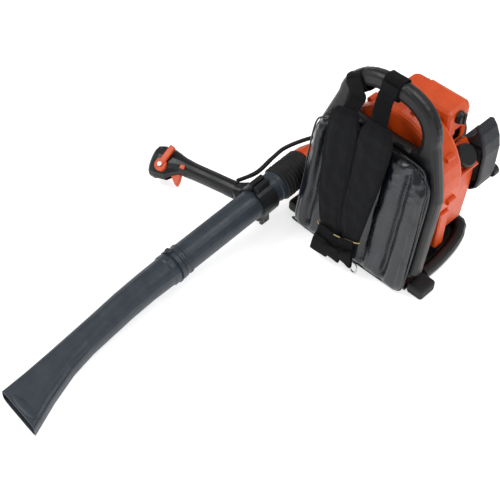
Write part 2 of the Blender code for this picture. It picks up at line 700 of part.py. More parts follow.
def tube_clamp():
    r = TUBE_RADIUS + GAP
    at = tube_matrix(CLAMP_AT - 0.022)
    length = 0.044
    for name, side in (("clamp_half_outer", -1), ("clamp_half_inner", 1)):
        outer, inner = [], []
        for k in range(13):
            a = math.radians(-86 + 172 * k / 12)
            outer.append((side * (r + 0.006) * math.cos(a), (r + 0.006) * math.sin(a)))
            inner.append((side * r * math.cos(a), r * math.sin(a)))
        obj = place(name, slab(outer + inner[::-1], 0, length), BLACK, at)
        for k, up in enumerate((1, -1)):
            ear = block((0.0125, 0.016, length - 0.004),
                        (side * 0.0078, up * (r + 0.0115), length / 2), 0.0015, 1)
            join(obj, ear, f"{name}_ear_{k}", at)
    outer_half = bpy.data.objects["clamp_half_outer"]
    join(outer_half, rod(0.0165, GRIP_START - GAP - 0.034, 20), "grip_socket",
         handle_matrix() @ Matrix.Translation((0, 0, 0.034)))
    gusset = [(-0.026, 0.026), (0.040, 0.026), (0.040, 0.038), (0.024, 0.048),
              (0.017, GRIP_START - GAP), (-0.017, GRIP_START - GAP), (-0.022, 0.048),
              (-0.026, 0.040)]
    join(outer_half, slab(gusset, -0.013, 0.013, bevel=0.003, segments=1), "grip_gusset",
         handle_matrix() @ Matrix.Rotation(GRIP_ROLL, 4, "Z") @ EDGEWAYS)
    cut(outer_half, rod(TUBE_RADIUS + GAP, 0.10, 28), "tube_seat",
        tube_matrix(CLAMP_AT - 0.05))
    tab = block((0.010, 0.024, 0.026), (0, 0, 0), 0.002, 1)
    inner_half = bpy.data.objects["clamp_half_inner"]
    spot = Matrix.Translation((0.0135, -(r + 0.022), length / 2))
    join(inner_half, tab, "lower_tab", at @ spot)
    cut(inner_half, rod(0.003, 0.03, 10), "tab_hole",
        at @ spot @ Matrix.Translation((-0.015, -0.005, 0))
        @ Matrix.Rotation(math.radians(90), 4, "Y"))


def grip():
    at = handle_matrix()
    base = GRIP_START
    head = base + GRIP_LENGTH
    stations = [(base, 0.016, 0.020, 0.0), (base + 0.012, 0.0165, 0.020, -0.001),
                (base + 0.030, 0.0175, 0.0195, -0.003),
                (base + 0.060, GRIP_RADIUS, GRIP_RADIUS, -0.006),
                (base + 0.115, GRIP_RADIUS, GRIP_RADIUS, -0.011),
                (head - 0.046, 0.019, 0.0220, -0.014), (head - 0.030, 0.0200, 0.0290, -0.012),
                (head - 0.014, 0.0215, 0.0375, -0.008), (head + 0.014, 0.0215, 0.039, -0.0075),
                (head + 0.027, 0.019, 0.036, -0.007), (head + 0.033, 0.013, 0.029, -0.0065)]
    for name, side in (("grip_shell_lower", 1), ("grip_shell_upper", -1)):
        rings = []
        for z, a, b, shift in stations:
            row = [(side * (GAP / 2 + a * max(math.sin(math.pi * j / 8), 0.0)),
                    shift + b * math.cos(math.pi * j / 8), z) for j in range(9)]
            rings.append(row)
        obj = place(name, skin(rings), BLACK, at)
        slot = block((0.0132, 0.053, 0.067), (0, 0.0155, head - 0.0235))
        cut(obj, slot, name + "_trigger_slot", at)
        well = rod(HUB_RADIUS + 0.0005, 0.02, 20)
        if side < 0:
            cut(obj, well, name + "_lever_seat",
                at @ Matrix.Translation((-0.0145, 0, head - 0.002))
                @ Matrix.Rotation(math.radians(-90), 4, "Y"))


def controls():
    at = handle_matrix()
    head = GRIP_START + GRIP_LENGTH
    pivot = at @ Vector((0, 0.004, head))
    outline = [(-0.003, 0.004), (0.010, 0.004), (0.011, -0.006), (0.013, -0.016),
               (0.018, -0.030), (0.032, -0.044), (0.034, -0.050), (0.022, -0.052),
               (0.0075, -0.050), (0.006, -0.044)]
    place("throttle_trigger",
          slab([(y, head + z) for y, z in outline], -0.0055, 0.0055, bevel=0.0015, segments=1),
          ORANGE, at @ EDGEWAYS, pivot)
    hub = at @ Matrix.Translation((-0.0148, 0, head - 0.002)) @ Matrix.Rotation(
        math.radians(-90), 4, "Y")
    obj = place("cruise_lever", rod(HUB_RADIUS, 0.012, 24, 0.001), ORANGE, hub,
                hub @ Vector((0, 0, 0)))
    arm = block((0.016, 0.048, 0.007), (0, 0.026, 0.0108), 0.0025, 2)
    join(obj, arm, "lever_arm", hub @ Matrix.Rotation(math.radians(LEVER_ANGLE), 4, "Z"))
    place("lever_cap", rod(0.0055, 0.0015, 16), WHITE,
          hub @ Matrix.Translation((0, 0, 0.0146)), hub @ Vector((0, 0, 0.0146)))
    switch = at @ Matrix.Translation((-0.0197, -0.010, head - 0.056))
    place("stop_switch", block((0.004, 0.009, 0.012), (-0.0022, 0, 0), 0.001, 1), ORANGE,
          switch, switch @ Vector((0, 0, 0)))


def throttle_cable():
    at = handle_matrix()
    base = GRIP_START
    start = at @ Vector((0.012, -0.0225, base + 0.012))
    points = [start, tube_matrix(CLAMP_AT - 0.040) @ Vector((-0.046, 0.014, 0)),
              tube_matrix(CLAMP_AT - 0.090) @ Vector((-0.046, 0.020, 0)),
              tube_matrix(BELLOWS_START + 0.010) @ Vector((-0.040, 0.034, 0)),
              tube_matrix(0.020) @ Vector((-0.006, 0.054, 0)),
              Vector((-0.172, 0.110, 0.168)), Vector((-0.150, 0.134, 0.190)),
              Vector((-0.118, 0.150, 0.215))]
    hose("throttle_cable", smooth_path(points, 5), 0.0040, RUBBER)


# ------------------------------------------------------------------ engine
CASE_Y = FAN_REAR_Y + 0.006            # front face of the crankcase
ROD_Y = CASE_Y + 0.034                 # plane of the connecting rod
CASE_TOP = CRANK_Z + 0.036
ROD_LENGTH = 0.042
WRIST_Z = CRANK_Z + CRANK_THROW + ROD_LENGTH
CYLINDER_TOP = CASE_TOP + 0.056


def along_y(y, x=0.0, z=CRANK_Z):
    return Matrix.Translation((x, y, z)) @ Matrix.Rotation(math.radians(-90), 4, "X")


def crankcase():
    obj = place("crankcase", rod(0.0355, 0.076, 24, 0.003), ALUMINIUM, along_y(CASE_Y))
    join(obj, block((0.062, 0.060, 0.031), (0, ROD_Y, CASE_TOP - 0.0155)), "cylinder_seat")
    join(obj, block((0.100, 0.030, 0.020), (0, ROD_Y, CRANK_Z - 0.026), 0.002, 1), "engine_feet")
    cut(obj, rod(0.0262, 0.0340, 24), "crank_chamber",
        along_y(ROD_Y - 0.0170) @ Matrix.Rotation(0.03, 4, "Z"))
    cut(obj, rod(0.0078, 0.100, 16), "shaft_bore",
        along_y(CASE_Y - 0.01) @ Matrix.Rotation(0.05, 4, "Z"))
    cut(obj, rod(BORE_RADIUS + 0.001, 0.05, 24), "cylinder_mouth",
        Matrix.Translation((0, ROD_Y, CRANK_Z + 0.0023)) @ Matrix.Rotation(0.07, 4, "Z"))


def crankshaft():
    pivot = (0, ROD_Y, CRANK_Z)
    front = [(0, FAN_FRONT_Y + 0.006), (0.0075, FAN_FRONT_Y + 0.006),
             (0.0075, ROD_Y - 0.0163), (WEB_RADIUS, ROD_Y - 0.0163), (WEB_RADIUS, ROD_Y - 0.0083),
             (0, ROD_Y - 0.0083)]
    place("crankshaft_front", lathe(front, 24), STEEL, along_y(0), pivot)
    rear = [(0, ROD_Y + 0.0083), (WEB_RADIUS, ROD_Y + 0.0083), (WEB_RADIUS, ROD_Y + 0.0163),
            (0.0075, ROD_Y + 0.0163), (0.0075, CASE_Y + 0.104), (0, CASE_Y + 0.104)]
    place("crankshaft_rear", lathe(rear, 24), STEEL, along_y(0), pivot)
    hub = bpy.data.objects["fan_impeller"]
    cut(hub, rod(0.0078, 0.20, 16), "impeller_bore", along_y(FAN_FRONT_Y - 0.02))


def piston_and_rod():
    top = WRIST_Z + 0.015
    r = BORE_RADIUS - GAP
    cup = [(0, top), (0, top - 0.004), (0.0165, top - 0.004), (0.0165, WRIST_Z - 0.0085),
           (r, WRIST_Z - 0.0085), (r, top - 0.008), (r - 0.0008, top - 0.0072),
           (r - 0.0008, top - 0.0058), (r, top - 0.005), (r, top)]
    at = Matrix.Translation((0, ROD_Y, 0))
    obj = place("piston", lathe(cup, 28), ALUMINIUM, at, (0, ROD_Y, WRIST_Z))
    cut(obj, rod(0.0050 + GAP, 0.06, 14), "wrist_bore", along_y(ROD_Y - 0.03, 0, WRIST_Z))
    place("wrist_pin", rod(0.0050, 0.036, 14), STEEL, along_y(ROD_Y - 0.018, 0, WRIST_Z))
    big, small = 0.0095, 0.0080
    outline = arc(0, CRANK_Z + CRANK_THROW, big, 160, 380, 12)
    outline += arc(0, WRIST_Z, small, -20, 200, 10)
    rod_obj = place("connecting_rod", slab(outline, -0.0060, 0.0060), STEEL, upright(ROD_Y),
                    (0, ROD_Y, WRIST_Z))
    cut(rod_obj, rod(0.0050 + GAP, 0.04, 14), "small_end", along_y(ROD_Y - 0.02, 0, WRIST_Z))
    cut(rod_obj, rod(0.0060 + GAP, 0.04, 14), "big_end",
        along_y(ROD_Y - 0.02, 0, CRANK_Z + CRANK_THROW))
    place("crank_pin", rod(0.0060, 0.0160, 14), STEEL,
          along_y(ROD_Y - 0.0080, 0, CRANK_Z + CRANK_THROW))


def cylinder():
    low = CASE_TOP + GAP
    r = BORE_RADIUS
    head = WRIST_Z + 0.021
    profile = [(r, low), (0.0300, low), (0.0300, low + 0.005), (0.0250, low + 0.006)]
    for k in range(FIN_COUNT):
        z = low + 0.014 + k * 0.0105
        wide = 0.0325
        profile += [(0.0250, z), (wide, z), (wide, z + 0.0024), (0.0250, z + 0.0024)]
    profile += [(0.0250, CYLINDER_TOP), (0.0062, CYLINDER_TOP), (0.0062, head + 0.004),
                (0.012, head + 0.002), (r, head - 0.004)]
    at = Matrix.Translation((0, ROD_Y, 0))
    place("cylinder", lathe(profile, 20), ALUMINIUM, at)
    plug = [(0, head + 0.008), (0.0059, head + 0.008), (0.0059, CYLINDER_TOP + GAP),
            (0.0100, CYLINDER_TOP + GAP), (0.0100, CYLINDER_TOP + 0.008),
            (0.0050, CYLINDER_TOP + 0.010), (0.0045, CYLINDER_TOP + 0.020),
            (0, CYLINDER_TOP + 0.020)]
    place("spark_plug", lathe(plug, 16), WHITE, at)
    boot = [(0.0054, CYLINDER_TOP + 0.0105), (0.0088, CYLINDER_TOP + 0.0105),
            (0.0088, CYLINDER_TOP + 0.024), (0.0060, CYLINDER_TOP + 0.028),
            (0, CYLINDER_TOP + 0.028), (0, CYLINDER_TOP + 0.0205),
            (0.0054, CYLINDER_TOP + 0.0205)]
    place("plug_boot", lathe(boot, 16), RUBBER, at)


def flywheel():
    y = CASE_Y + 0.0762
    hub = [(0.0078, 0), (0.012, 0), (0.016, 0.003), (0.044, 0.003), (0.044, 0.014),
           (0.040, 0.014), (0.034, 0.007), (0.016, 0.007), (0.012, 0.014), (0.0078, 0.014)]
    place("flywheel", lathe(hub, 28), ALUMINIUM, along_y(y + 0.0035), (0, y, CRANK_Z))
    place("ignition_coil", block((0.030, 0.016, 0.016), (0, 0, 0), 0.002, 1), IRON,
          Matrix.Translation((-0.054, y + 0.012, CRANK_Z + 0.026))
          @ Matrix.Rotation(math.radians(-52), 4, "Y"))


def exhaust():
    muffler = place("muffler", block((0.042, 0.052, 0.062), (-0.084, ROD_Y, CASE_TOP + 0.030),
                                     0.008), IRON)
    spout = Matrix.Translation((-0.104, ROD_Y, CASE_TOP + 0.016)) @ Matrix.Rotation(
        math.radians(-90), 4, "Y")
    join(muffler, rod(0.008, 0.016, 14), "exhaust_spout", spout)
    cut(muffler, rod(0.0062, 0.030, 14), "exhaust_bore",
        spout @ Matrix.Translation((0, 0, -0.006)))


def intake():
    z = CASE_TOP + 0.030
    across = Matrix.Translation((0.0405, ROD_Y, z)) @ Matrix.Rotation(math.radians(90), 4, "Y")
    obj = place("carburettor", block((0.024, 0.034, 0.032), (0.0590, ROD_Y, z), 0.003, 1),
                ALUMINIUM)
    join(obj, rod(0.011, 0.012, 16), "intake_stub", across)
    cut(obj, rod(0.0103, 0.02, 20), "bulb_seat",
        Matrix.Translation((0.0665, ROD_Y - 0.002, z - 0.002))
        @ Matrix.Rotation(math.radians(90), 4, "Y"))
    place("primer_bulb", lathe([(0, 0), (0.0095, 0), (0.0095, 0.002), (0.0085, 0.005),
                                (0.0055, 0.008), (0, 0.009)], 20), BULB_PINK,
          Matrix.Translation((0.0713, ROD_Y - 0.002, z - 0.002))
          @ Matrix.Rotation(math.radians(90), 4, "Y"), (0.0713, ROD_Y - 0.002, z - 0.002))


# ------------------------------------------------------------------ covers and tank
COVER_LOW = CASE_TOP + 0.014
COVER_TOP = 0.362
COVER_RIGHT = 0.088
COVER_LEFT = -0.058
COVER_STEP = 0.010
COVER_FRONT = FAN_REAR_Y + GAP + 0.0005
COVER_REAR = COVER_FRONT + 0.076


def rounded_box(x0, x1, y0, y1, radius, steps=3):
    return (arc(x1 - radius, y0 + radius, radius, -90, 0, steps)
            + arc(x1 - radius, y1 - radius, radius, 0, 90, steps)
            + arc(x0 + radius, y1 - radius, radius, 90, 180, steps)
            + arc(x0 + radius, y0 + radius, radius, 180, 270, steps))


def engine_cover():
    wall = 0.003
    bm = slab(rounded_box(COVER_LEFT, COVER_RIGHT, COVER_FRONT, COVER_REAR, 0.014),
              COVER_LOW, COVER_TOP)
    lips = [e for e in bm.edges if all(abs(v.co.z - COVER_TOP) < 1e-6 for v in e.verts)]
    bmesh.ops.bevel(bm, geom=lips, offset=0.012, segments=2, profile=0.5, affect="EDGES",
                    material=-1)
    obj = place("engine_cover", bm, ORANGE)
    step_top = COVER_TOP - COVER_STEP
    cut(obj, slab(rounded_box(COVER_LEFT + wall, COVER_RIGHT - wall, COVER_FRONT + wall,
                              COVER_REAR - wall, 0.008), COVER_LOW - 0.01, step_top - 0.005),
        "cover_inside")
    cut(obj, slab(rounded_box(-0.011, COVER_RIGHT - wall - 0.001, COVER_FRONT + wall + 0.001,
                              COVER_REAR - wall - 0.001, 0.008), COVER_LOW, COVER_TOP - 0.005),
        "cover_crown")
    cut(obj, block((0.060, 0.10, 0.030), (-0.044, (COVER_FRONT + COVER_REAR) / 2,
                                          step_top + 0.015)), "cover_step")
    cut(obj, block((0.03, 0.030, 0.034), (COVER_RIGHT, ROD_Y - 0.002, CASE_TOP + 0.032), 0.006),
        "carburettor_window")
    for k in range(4):
        cut(obj, block((0.03, 0.005, 0.018), (COVER_LEFT, ROD_Y - 0.018 + 0.012 * k,
                                              CASE_TOP + 0.080)), f"left_vent_{k}")
    cut(obj, block((0.03, 0.044, 0.040), (COVER_LEFT, ROD_Y, CASE_TOP + 0.034), 0.004, 1),
        "muffler_window")
    knob_at = (COVER_RIGHT + GAP, ROD_Y - 0.008, CASE_TOP + 0.083)
    knob = lathe([(0, 0), (0.0145, 0), (0.0145, 0.004), (0.0125, 0.012), (0, 0.014)], 20)
    knob_obj = place("choke_knob", knob, BLACK,
                     Matrix.Translation(knob_at) @ Matrix.Rotation(math.radians(90), 4, "Y"),
                     knob_at)
    bar = block((0.0065, 0.006, 0.026), (0.0145, 0, 0.002), 0.0015, 1)
    join(knob_obj, bar, "knob_bar", Matrix.Translation(knob_at))


def cap_matrix():
    return turn_to((1, 0, 1), (0.1090, FAN_REAR_Y + 0.046, 0.2412), (0, 1, 0))


def fuel_tank():
    outline = [(-0.105, 0.030), (0.100, 0.030), (0.114, 0.046), (0.121, 0.150),
               (0.121, 0.2292), (0.0875, 0.2627), (0.0755, 0.2512), (0.0740, 0.176),
               (0.060, 0.166), (-0.105, 0.166), (-0.118, 0.153), (-0.118, 0.043)]
    obj = place("fuel_tank", slab(outline, 0, 0.078, bevel=0.005, segments=1), ORANGE,
                upright(FAN_REAR_Y + 0.0835))
    join(obj, rod(0.0165, 0.012, 20), "filler_neck",
         cap_matrix() @ Matrix.Translation((0, 0, -0.006)))
    cut(obj, rod(0.0135, 0.050, 20), "filler_bore",
        cap_matrix() @ Matrix.Translation((0, 0, -0.030)))
    drip = block((0.010, 0.062, 0.020), (0.0, 0, 0.0), 0.003, 1)
    join(obj, drip, "drip_lip", Matrix.Translation((0.1245, FAN_REAR_Y + 0.047, 0.2120))
         @ Matrix.Rotation(math.radians(35), 4, "Y"))
    cap = lathe([(0, 0.0115), (0.0168, 0.0115), (0.0168, 0.0010), (TANK_CAP_RADIUS, 0.0010),
                 (TANK_CAP_RADIUS, 0.014), (TANK_CAP_RADIUS - 0.003, 0.017), (0, 0.017)], 28)
    place("fuel_cap", cap, BLACK, cap_matrix(), cap_matrix().translation)


def cleaner():
    y0, y1 = FAN_REAR_Y + 0.0845, FAN_REAR_Y + 0.142
    outline = [(0.078, 0.122), (0.120, 0.122), (0.134, 0.136), (0.139, 0.160), (0.139, 0.232),
               (0.133, 0.258), (0.122, 0.280), (0.110, 0.293), (0.102, 0.291), (0.106, 0.280),
               (0.101, 0.266), (0.091, 0.256), (0.078, 0.252)]
    obj = place("cleaner_cover", slab(outline, 0, y1 - y0, bevel=0.005, segments=2), DARK_GREY,
                upright(y1))
    inner = [(0.082, 0.127), (0.118, 0.127), (0.130, 0.139), (0.134, 0.162), (0.134, 0.231),
             (0.126, 0.252), (0.082, 0.246)]
    cut(obj, slab(inner, 0, y1 - y0 + 0.005), "cleaner_inside", upright(y1 - 0.005))
    place("air_filter", block((0.038, 0.030, 0.098), (0.106, y0 + 0.022, 0.191), 0.004, 1), FOAM)
    knob_at = (0.128, y1 + GAP, 0.146)
    place("cleaner_knob", rod(0.0145, 0.018, 16, 0.002), BLACK, along_y(knob_at[1], knob_at[0],
                                                                       knob_at[2]), knob_at)


def starter():
    y0 = CASE_Y + 0.0965
    y1 = y0 + 0.034
    shell = [(0, 0.030), (0.050, 0.030), (0.057, 0.022), (0.059, 0), (0.062, 0), (0.0605, 0.024),
             (0.052, 0.034), (0, 0.034)]
    obj = place("starter_housing", lathe(shell, 28), DARK_GREY, along_y(y0))
    for k in range(8):
        slot = block((0.020, 0.02, 0.005), (0.034, 0, 0))
        cut(obj, slot, f"starter_vent_{k}",
            along_y(y1) @ Matrix.Rotation(math.radians(45 * k + 10), 4, "Z")
            @ Matrix.Rotation(math.radians(90), 4, "X"))
    reel = ring(0.0045 + GAP, 0.026, 0.010, 24)
    place("starter_reel", reel, BLACK, along_y(y0 + 0.016), (0, y0 + 0.016, CRANK_Z))
    join(obj, rod(0.0045, 0.020, 14), "reel_post", along_y(y0 + 0.0125))
    way = Vector((-0.64, 0, 0.77)).normalized()
    exit_at = Vector((0, y0 + 0.016, CRANK_Z)) + way * 0.0655
    handle = turn_to((way.x, 0, way.z), exit_at, (0, 1, 0))
    handle_bm = lathe([(0, 0), (0.0075, 0), (0.0095, 0.004), (0.0095, 0.020), (0.0120, 0.026),
                       (0.0120, 0.032), (0, 0.034)], 16)
    place("starter_grip", handle_bm, BLACK, handle, exit_at)


def mounts():
    for name, x, y in (("mount_front_right", 0.116, FAN_REAR_Y - 0.018),
                       ("mount_front_left", -0.116, FAN_REAR_Y - 0.018),
                       ("mount_rear_right", 0.078, FAN_REAR_Y + 0.052),
                       ("mount_rear_left", -0.078, FAN_REAR_Y + 0.052)):
        bm = lathe([(0, 0), (0.014, 0), (0.0115, 0.006), (0.0115, 0.014), (0.014, 0.0204),
                    (0, 0.0204)], 16)
        place(name, bm, RUBBER, Matrix.Translation((x, y, BASE_PLATE + GAP)))


clear_scene()
back_frame()
base_tray()
feet()
back_pad()
harness()
strap_hardware()
fan_case()
intake_grille()
impeller()
elbow()
outlet_collar()
bellows()
swivel_tube()
joint_collar()
nozzle()
tube_clamp()
grip()
controls()
throttle_cable()
crankcase()
crankshaft()
piston_and_rod()
cylinder()
flywheel()
exhaust()
intake()
engine_cover()
fuel_tank()
cleaner()
starter()
mounts()
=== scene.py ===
# Backpack leaf blower: finishes, soft goods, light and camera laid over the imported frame.
import math

import bmesh
import bpy
from mathutils import Matrix, Vector, noise
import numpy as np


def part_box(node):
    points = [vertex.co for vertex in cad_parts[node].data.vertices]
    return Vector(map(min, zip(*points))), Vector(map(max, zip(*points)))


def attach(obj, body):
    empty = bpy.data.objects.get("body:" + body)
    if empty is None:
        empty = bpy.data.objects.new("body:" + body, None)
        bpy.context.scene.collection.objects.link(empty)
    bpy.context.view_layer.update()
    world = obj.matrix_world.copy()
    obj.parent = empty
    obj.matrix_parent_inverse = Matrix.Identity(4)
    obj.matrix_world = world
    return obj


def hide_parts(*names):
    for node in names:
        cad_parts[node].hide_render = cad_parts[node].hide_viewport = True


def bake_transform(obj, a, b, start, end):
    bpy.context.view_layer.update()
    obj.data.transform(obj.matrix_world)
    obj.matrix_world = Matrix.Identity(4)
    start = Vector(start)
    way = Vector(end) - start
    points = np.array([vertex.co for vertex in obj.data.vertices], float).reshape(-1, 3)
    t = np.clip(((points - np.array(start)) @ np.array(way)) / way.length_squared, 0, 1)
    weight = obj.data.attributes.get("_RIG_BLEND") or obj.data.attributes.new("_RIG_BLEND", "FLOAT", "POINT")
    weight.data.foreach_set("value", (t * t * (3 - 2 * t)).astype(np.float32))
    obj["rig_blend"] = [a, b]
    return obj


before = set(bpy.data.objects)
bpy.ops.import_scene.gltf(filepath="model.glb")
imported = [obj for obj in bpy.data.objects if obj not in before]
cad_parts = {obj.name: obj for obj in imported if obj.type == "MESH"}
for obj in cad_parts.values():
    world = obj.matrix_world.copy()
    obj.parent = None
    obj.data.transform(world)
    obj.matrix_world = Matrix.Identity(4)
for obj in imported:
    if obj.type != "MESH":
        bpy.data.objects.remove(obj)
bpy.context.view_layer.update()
print("frame loaded", len(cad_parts), "nodes")

lean = math.radians(8.5)  # the back frame leans back this much
tubeSlope = math.radians(4.6)
tubePivot = Vector((-0.209, 0.105, 0.095))


# ---- small tools for finishes
def addNode(mat, kind, **values):
    node = mat.node_tree.nodes.new(kind)
    for key, value in values.items():
        if key in node.inputs:
            node.inputs[key].default_value = value
        else:
            setattr(node, key, value)
    return node


def wire(mat, source, target):
    mat.node_tree.links.new(source, target)


def objectSpace(mat, stretch=(1, 1, 1)):
    coords = addNode(mat, "ShaderNodeTexCoord")
    mapping = addNode(mat, "ShaderNodeMapping")
    mapping.inputs["Scale"].default_value = stretch
    wire(mat, coords.outputs["Object"], mapping.inputs["Vector"])
    return mapping.outputs["Vector"]


def newFinish(name, look):
    mat = bpy.data.materials.new(name)
    mat.use_nodes = True
    shader = mat.node_tree.nodes["Principled BSDF"]
    shader.inputs["Base Color"].default_value = (*look["colour"], 1)
    shader.inputs["Metallic"].default_value = look.get("metal", 0.0)
    shader.inputs["Roughness"].default_value = look["rough"]
    shader.inputs["Coat Weight"].default_value = look.get("coat", 0.0)
    shader.inputs["Coat Roughness"].default_value = look.get("coatRough", 0.1)
    shader.inputs["Sheen Weight"].default_value = look.get("sheen", 0.0)
    return mat, shader


def mottle(mat, shader, first, second, scale):
    # a soft patchy blend of two close colours
    pattern = addNode(mat, "ShaderNodeTexNoise", Scale=scale, Detail=4.0, Roughness=0.6)
    wire(mat, objectSpace(mat), pattern.inputs["Vector"])
    ramp = addNode(mat, "ShaderNodeValToRGB")
    ramp.color_ramp.elements[0].position = 0.35
    ramp.color_ramp.elements[0].color = (*first, 1)
    ramp.color_ramp.elements[1].position = 0.65
    ramp.color_ramp.elements[1].color = (*second, 1)
    wire(mat, pattern.outputs["Fac"], ramp.inputs["Fac"])
    wire(mat, ramp.outputs["Color"], shader.inputs["Base Color"])


def varyRough(mat, shader, low, high, scale):
    pattern = addNode(mat, "ShaderNodeTexNoise", Scale=scale, Detail=5.0, Roughness=0.65)
    wire(mat, objectSpace(mat), pattern.inputs["Vector"])
    spread = addNode(mat, "ShaderNodeMapRange")
    spread.inputs["From Min"].default_value = 0.3
    spread.inputs["From Max"].default_value = 0.7
    spread.inputs["To Min"].default_value = low
    spread.inputs["To Max"].default_value = high
    wire(mat, pattern.outputs["Fac"], spread.inputs["Value"])
    wire(mat, spread.outputs["Result"], shader.inputs["Roughness"])


def raiseBy(mat, shader, height, depth, strength=1.0):
    # one more layer of bump over any that is already there
    bump = addNode(mat, "ShaderNodeBump")
    bump.inputs["Strength"].default_value = strength
    bump.inputs["Distance"].default_value = depth
    wire(mat, height, bump.inputs["Height"])
    taken = shader.inputs["Normal"].links
    if taken:
        wire(mat, taken[0].from_socket, bump.inputs["Normal"])
    wire(mat, bump.outputs["Normal"], shader.inputs["Normal"])


def grain(mat, shader, scale, depth, kind="noise"):
    if kind == "cells":
        pattern = addNode(mat, "ShaderNodeTexVoronoi", Scale=scale)
        height = pattern.outputs["Distance"]
    else:
        pattern = addNode(mat, "ShaderNodeTexNoise", Scale=scale, Detail=3.0, Roughness=0.55)
        height = pattern.outputs["Fac"]
    wire(mat, objectSpace(mat), pattern.inputs["Vector"])
    raiseBy(mat, shader, height, depth)


# ---- finishes of the moulded, cast and turned pieces
mouldings = {
    "orangeMoulding": dict(colour=(0.80, 0.090, 0.004), dark=(0.70, 0.068, 0.003), rough=0.36,
                           roughTop=0.48, grain=900, depth=0.00006, coat=0.08, coatRough=0.25),
    "frameMoulding": dict(colour=(0.0070, 0.0075, 0.0095), dark=(0.0035, 0.0040, 0.0050), rough=0.32,
                          roughTop=0.48, grain=1100, depth=0.00010),
    "tubeMoulding": dict(colour=(0.036, 0.048, 0.064), dark=(0.026, 0.035, 0.048), rough=0.36,
                         roughTop=0.50, grain=1300, depth=0.00008),
    "coverMoulding": dict(colour=(0.024, 0.029, 0.037), dark=(0.015, 0.018, 0.024), rough=0.45,
                          roughTop=0.62, grain=1000, depth=0.00012),
    "knobMoulding": dict(colour=(0.010, 0.011, 0.013), dark=(0.006, 0.006, 0.007), rough=0.38,
                         roughTop=0.5, grain=1500, depth=0.00008),
    "mouldedRubber": dict(colour=(0.010, 0.010, 0.011), dark=(0.005, 0.005, 0.006), rough=0.62,
                         roughTop=0.8, grain=1600, depth=0.00015),
    "castAlloy": dict(colour=(0.60, 0.60, 0.59), dark=(0.46, 0.46, 0.45), rough=0.38,
                      roughTop=0.55, metal=1.0, grain=2200, depth=0.00018),
    "brightSteel": dict(colour=(0.62, 0.62, 0.63), dark=(0.50, 0.50, 0.51), rough=0.20,
                        roughTop=0.36, metal=1.0, grain=2500, depth=0.00004),
    "mufflerPaint": dict(colour=(0.10, 0.098, 0.095), dark=(0.16, 0.13, 0.11), rough=0.55,
                         roughTop=0.75, metal=0.6, grain=1800, depth=0.00012),
    "bulbPlastic": dict(colour=(0.78, 0.30, 0.31), dark=(0.70, 0.24, 0.26), rough=0.12,
                        roughTop=0.2, grain=400, depth=0.00002, coat=0.6),
    "bandRubber": dict(colour=(0.62, 0.49, 0.24), dark=(0.50, 0.38, 0.17), rough=0.5,
                       roughTop=0.65, grain=1500, depth=0.0001),
    "openFoam": dict(colour=(0.030, 0.030, 0.031), dark=(0.006, 0.006, 0.006), rough=0.9,
                     roughTop=0.98, grain=700, depth=0.0008),
    "glazedWhite": dict(colour=(0.86, 0.86, 0.84), dark=(0.78, 0.78, 0.76), rough=0.18,
                        roughTop=0.28, grain=800, depth=0.00003, coat=0.4),
}
finishes = {}
for finishName, look in mouldings.items():
    mat, shader = newFinish(finishName, look)
    mottle(mat, shader, look["dark"], look["colour"], 38 if look["grain"] < 2000 else 120)
    varyRough(mat, shader, look["rough"], look["roughTop"], 24)
    grain(mat, shader, look["grain"], look["depth"],
          "cells" if finishName in ("openFoam", "castAlloy") else "noise")
    finishes[finishName] = mat

finishOf = {
    "orangeMoulding": ["fan_case_front", "fan_case_rear", "outlet_elbow", "engine_cover",
                       "fuel_tank", "throttle_trigger", "cruise_lever", "stop_switch"],
    "frameMoulding": ["back_frame", "base_tray", "intake_grille", "outlet_clamp",
                      "clamp_half_outer", "clamp_half_inner", "grip_shell_upper",
                      "grip_shell_lower"],
    "tubeMoulding": ["blow_tube", "joint_collar", "blower_nozzle"],
    "coverMoulding": ["cleaner_cover", "starter_housing", "fan_impeller", "ignition_coil"],
    "knobMoulding": ["fuel_cap", "choke_knob", "cleaner_knob", "starter_grip", "starter_reel"],
    "mouldedRubber": ["foot_front_right", "foot_front_left", "mount_front_right",
                     "mount_front_left", "mount_rear_right", "mount_rear_left", "bellows_hose",
                     "throttle_cable", "plug_boot"],
    "castAlloy": ["crankcase", "cylinder", "piston", "flywheel", "carburettor"],
    "brightSteel": ["crankshaft_front", "crankshaft_rear", "connecting_rod", "wrist_pin",
                    "crank_pin", "strap_hook"],
    "mufflerPaint": ["muffler"],
    "bulbPlastic": ["primer_bulb"],
    "bandRubber": ["strap_band"],
    "openFoam": ["air_filter"],
    "glazedWhite": ["spark_plug", "lever_cap"],
}
for finishName, nodes in finishOf.items():
    for nodeName in nodes:
        cadPiece = bpy.data.objects[nodeName]
        cadPiece.data.materials.clear()
        cadPiece.data.materials.append(finishes[finishName])
print("finishes on", sum(len(nodes) for nodes in finishOf.values()), "nodes")


# ---- shaping tools
def onFrame(across, ahead, up):
    # a point given across, in front of and up the leaning frame
    return Matrix.Rotation(-lean, 4, "X") @ Vector((across, -ahead, up))


def alongTube(reach, side=0.0, over=0.0):
    # a point given along the blow tube from its pivot, to the right and above it
    turn = Matrix.Rotation(math.radians(90) + tubeSlope, 4, "X")
    return tubePivot + turn @ Vector((side, over, reach))


def makePiece(name, bm, mat, body, sharp=50):
    mesh = bpy.data.meshes.new(name)
    bm.to_mesh(mesh)
    bm.free()
    mesh.shade_smooth()
    mesh.set_sharp_from_angle(angle=math.radians(sharp))
    mesh.materials.append(mat)
    piece = bpy.data.objects.new(name, mesh)
    bpy.context.scene.collection.objects.link(piece)
    if body:
        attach(piece, body)
    return piece


def shell(bm):
    bmesh.ops.remove_doubles(bm, verts=bm.verts, dist=1e-6)
    bmesh.ops.recalc_face_normals(bm, faces=bm.faces)
    if bm.calc_volume(signed=True) < 0:
        bmesh.ops.reverse_faces(bm, faces=bm.faces)


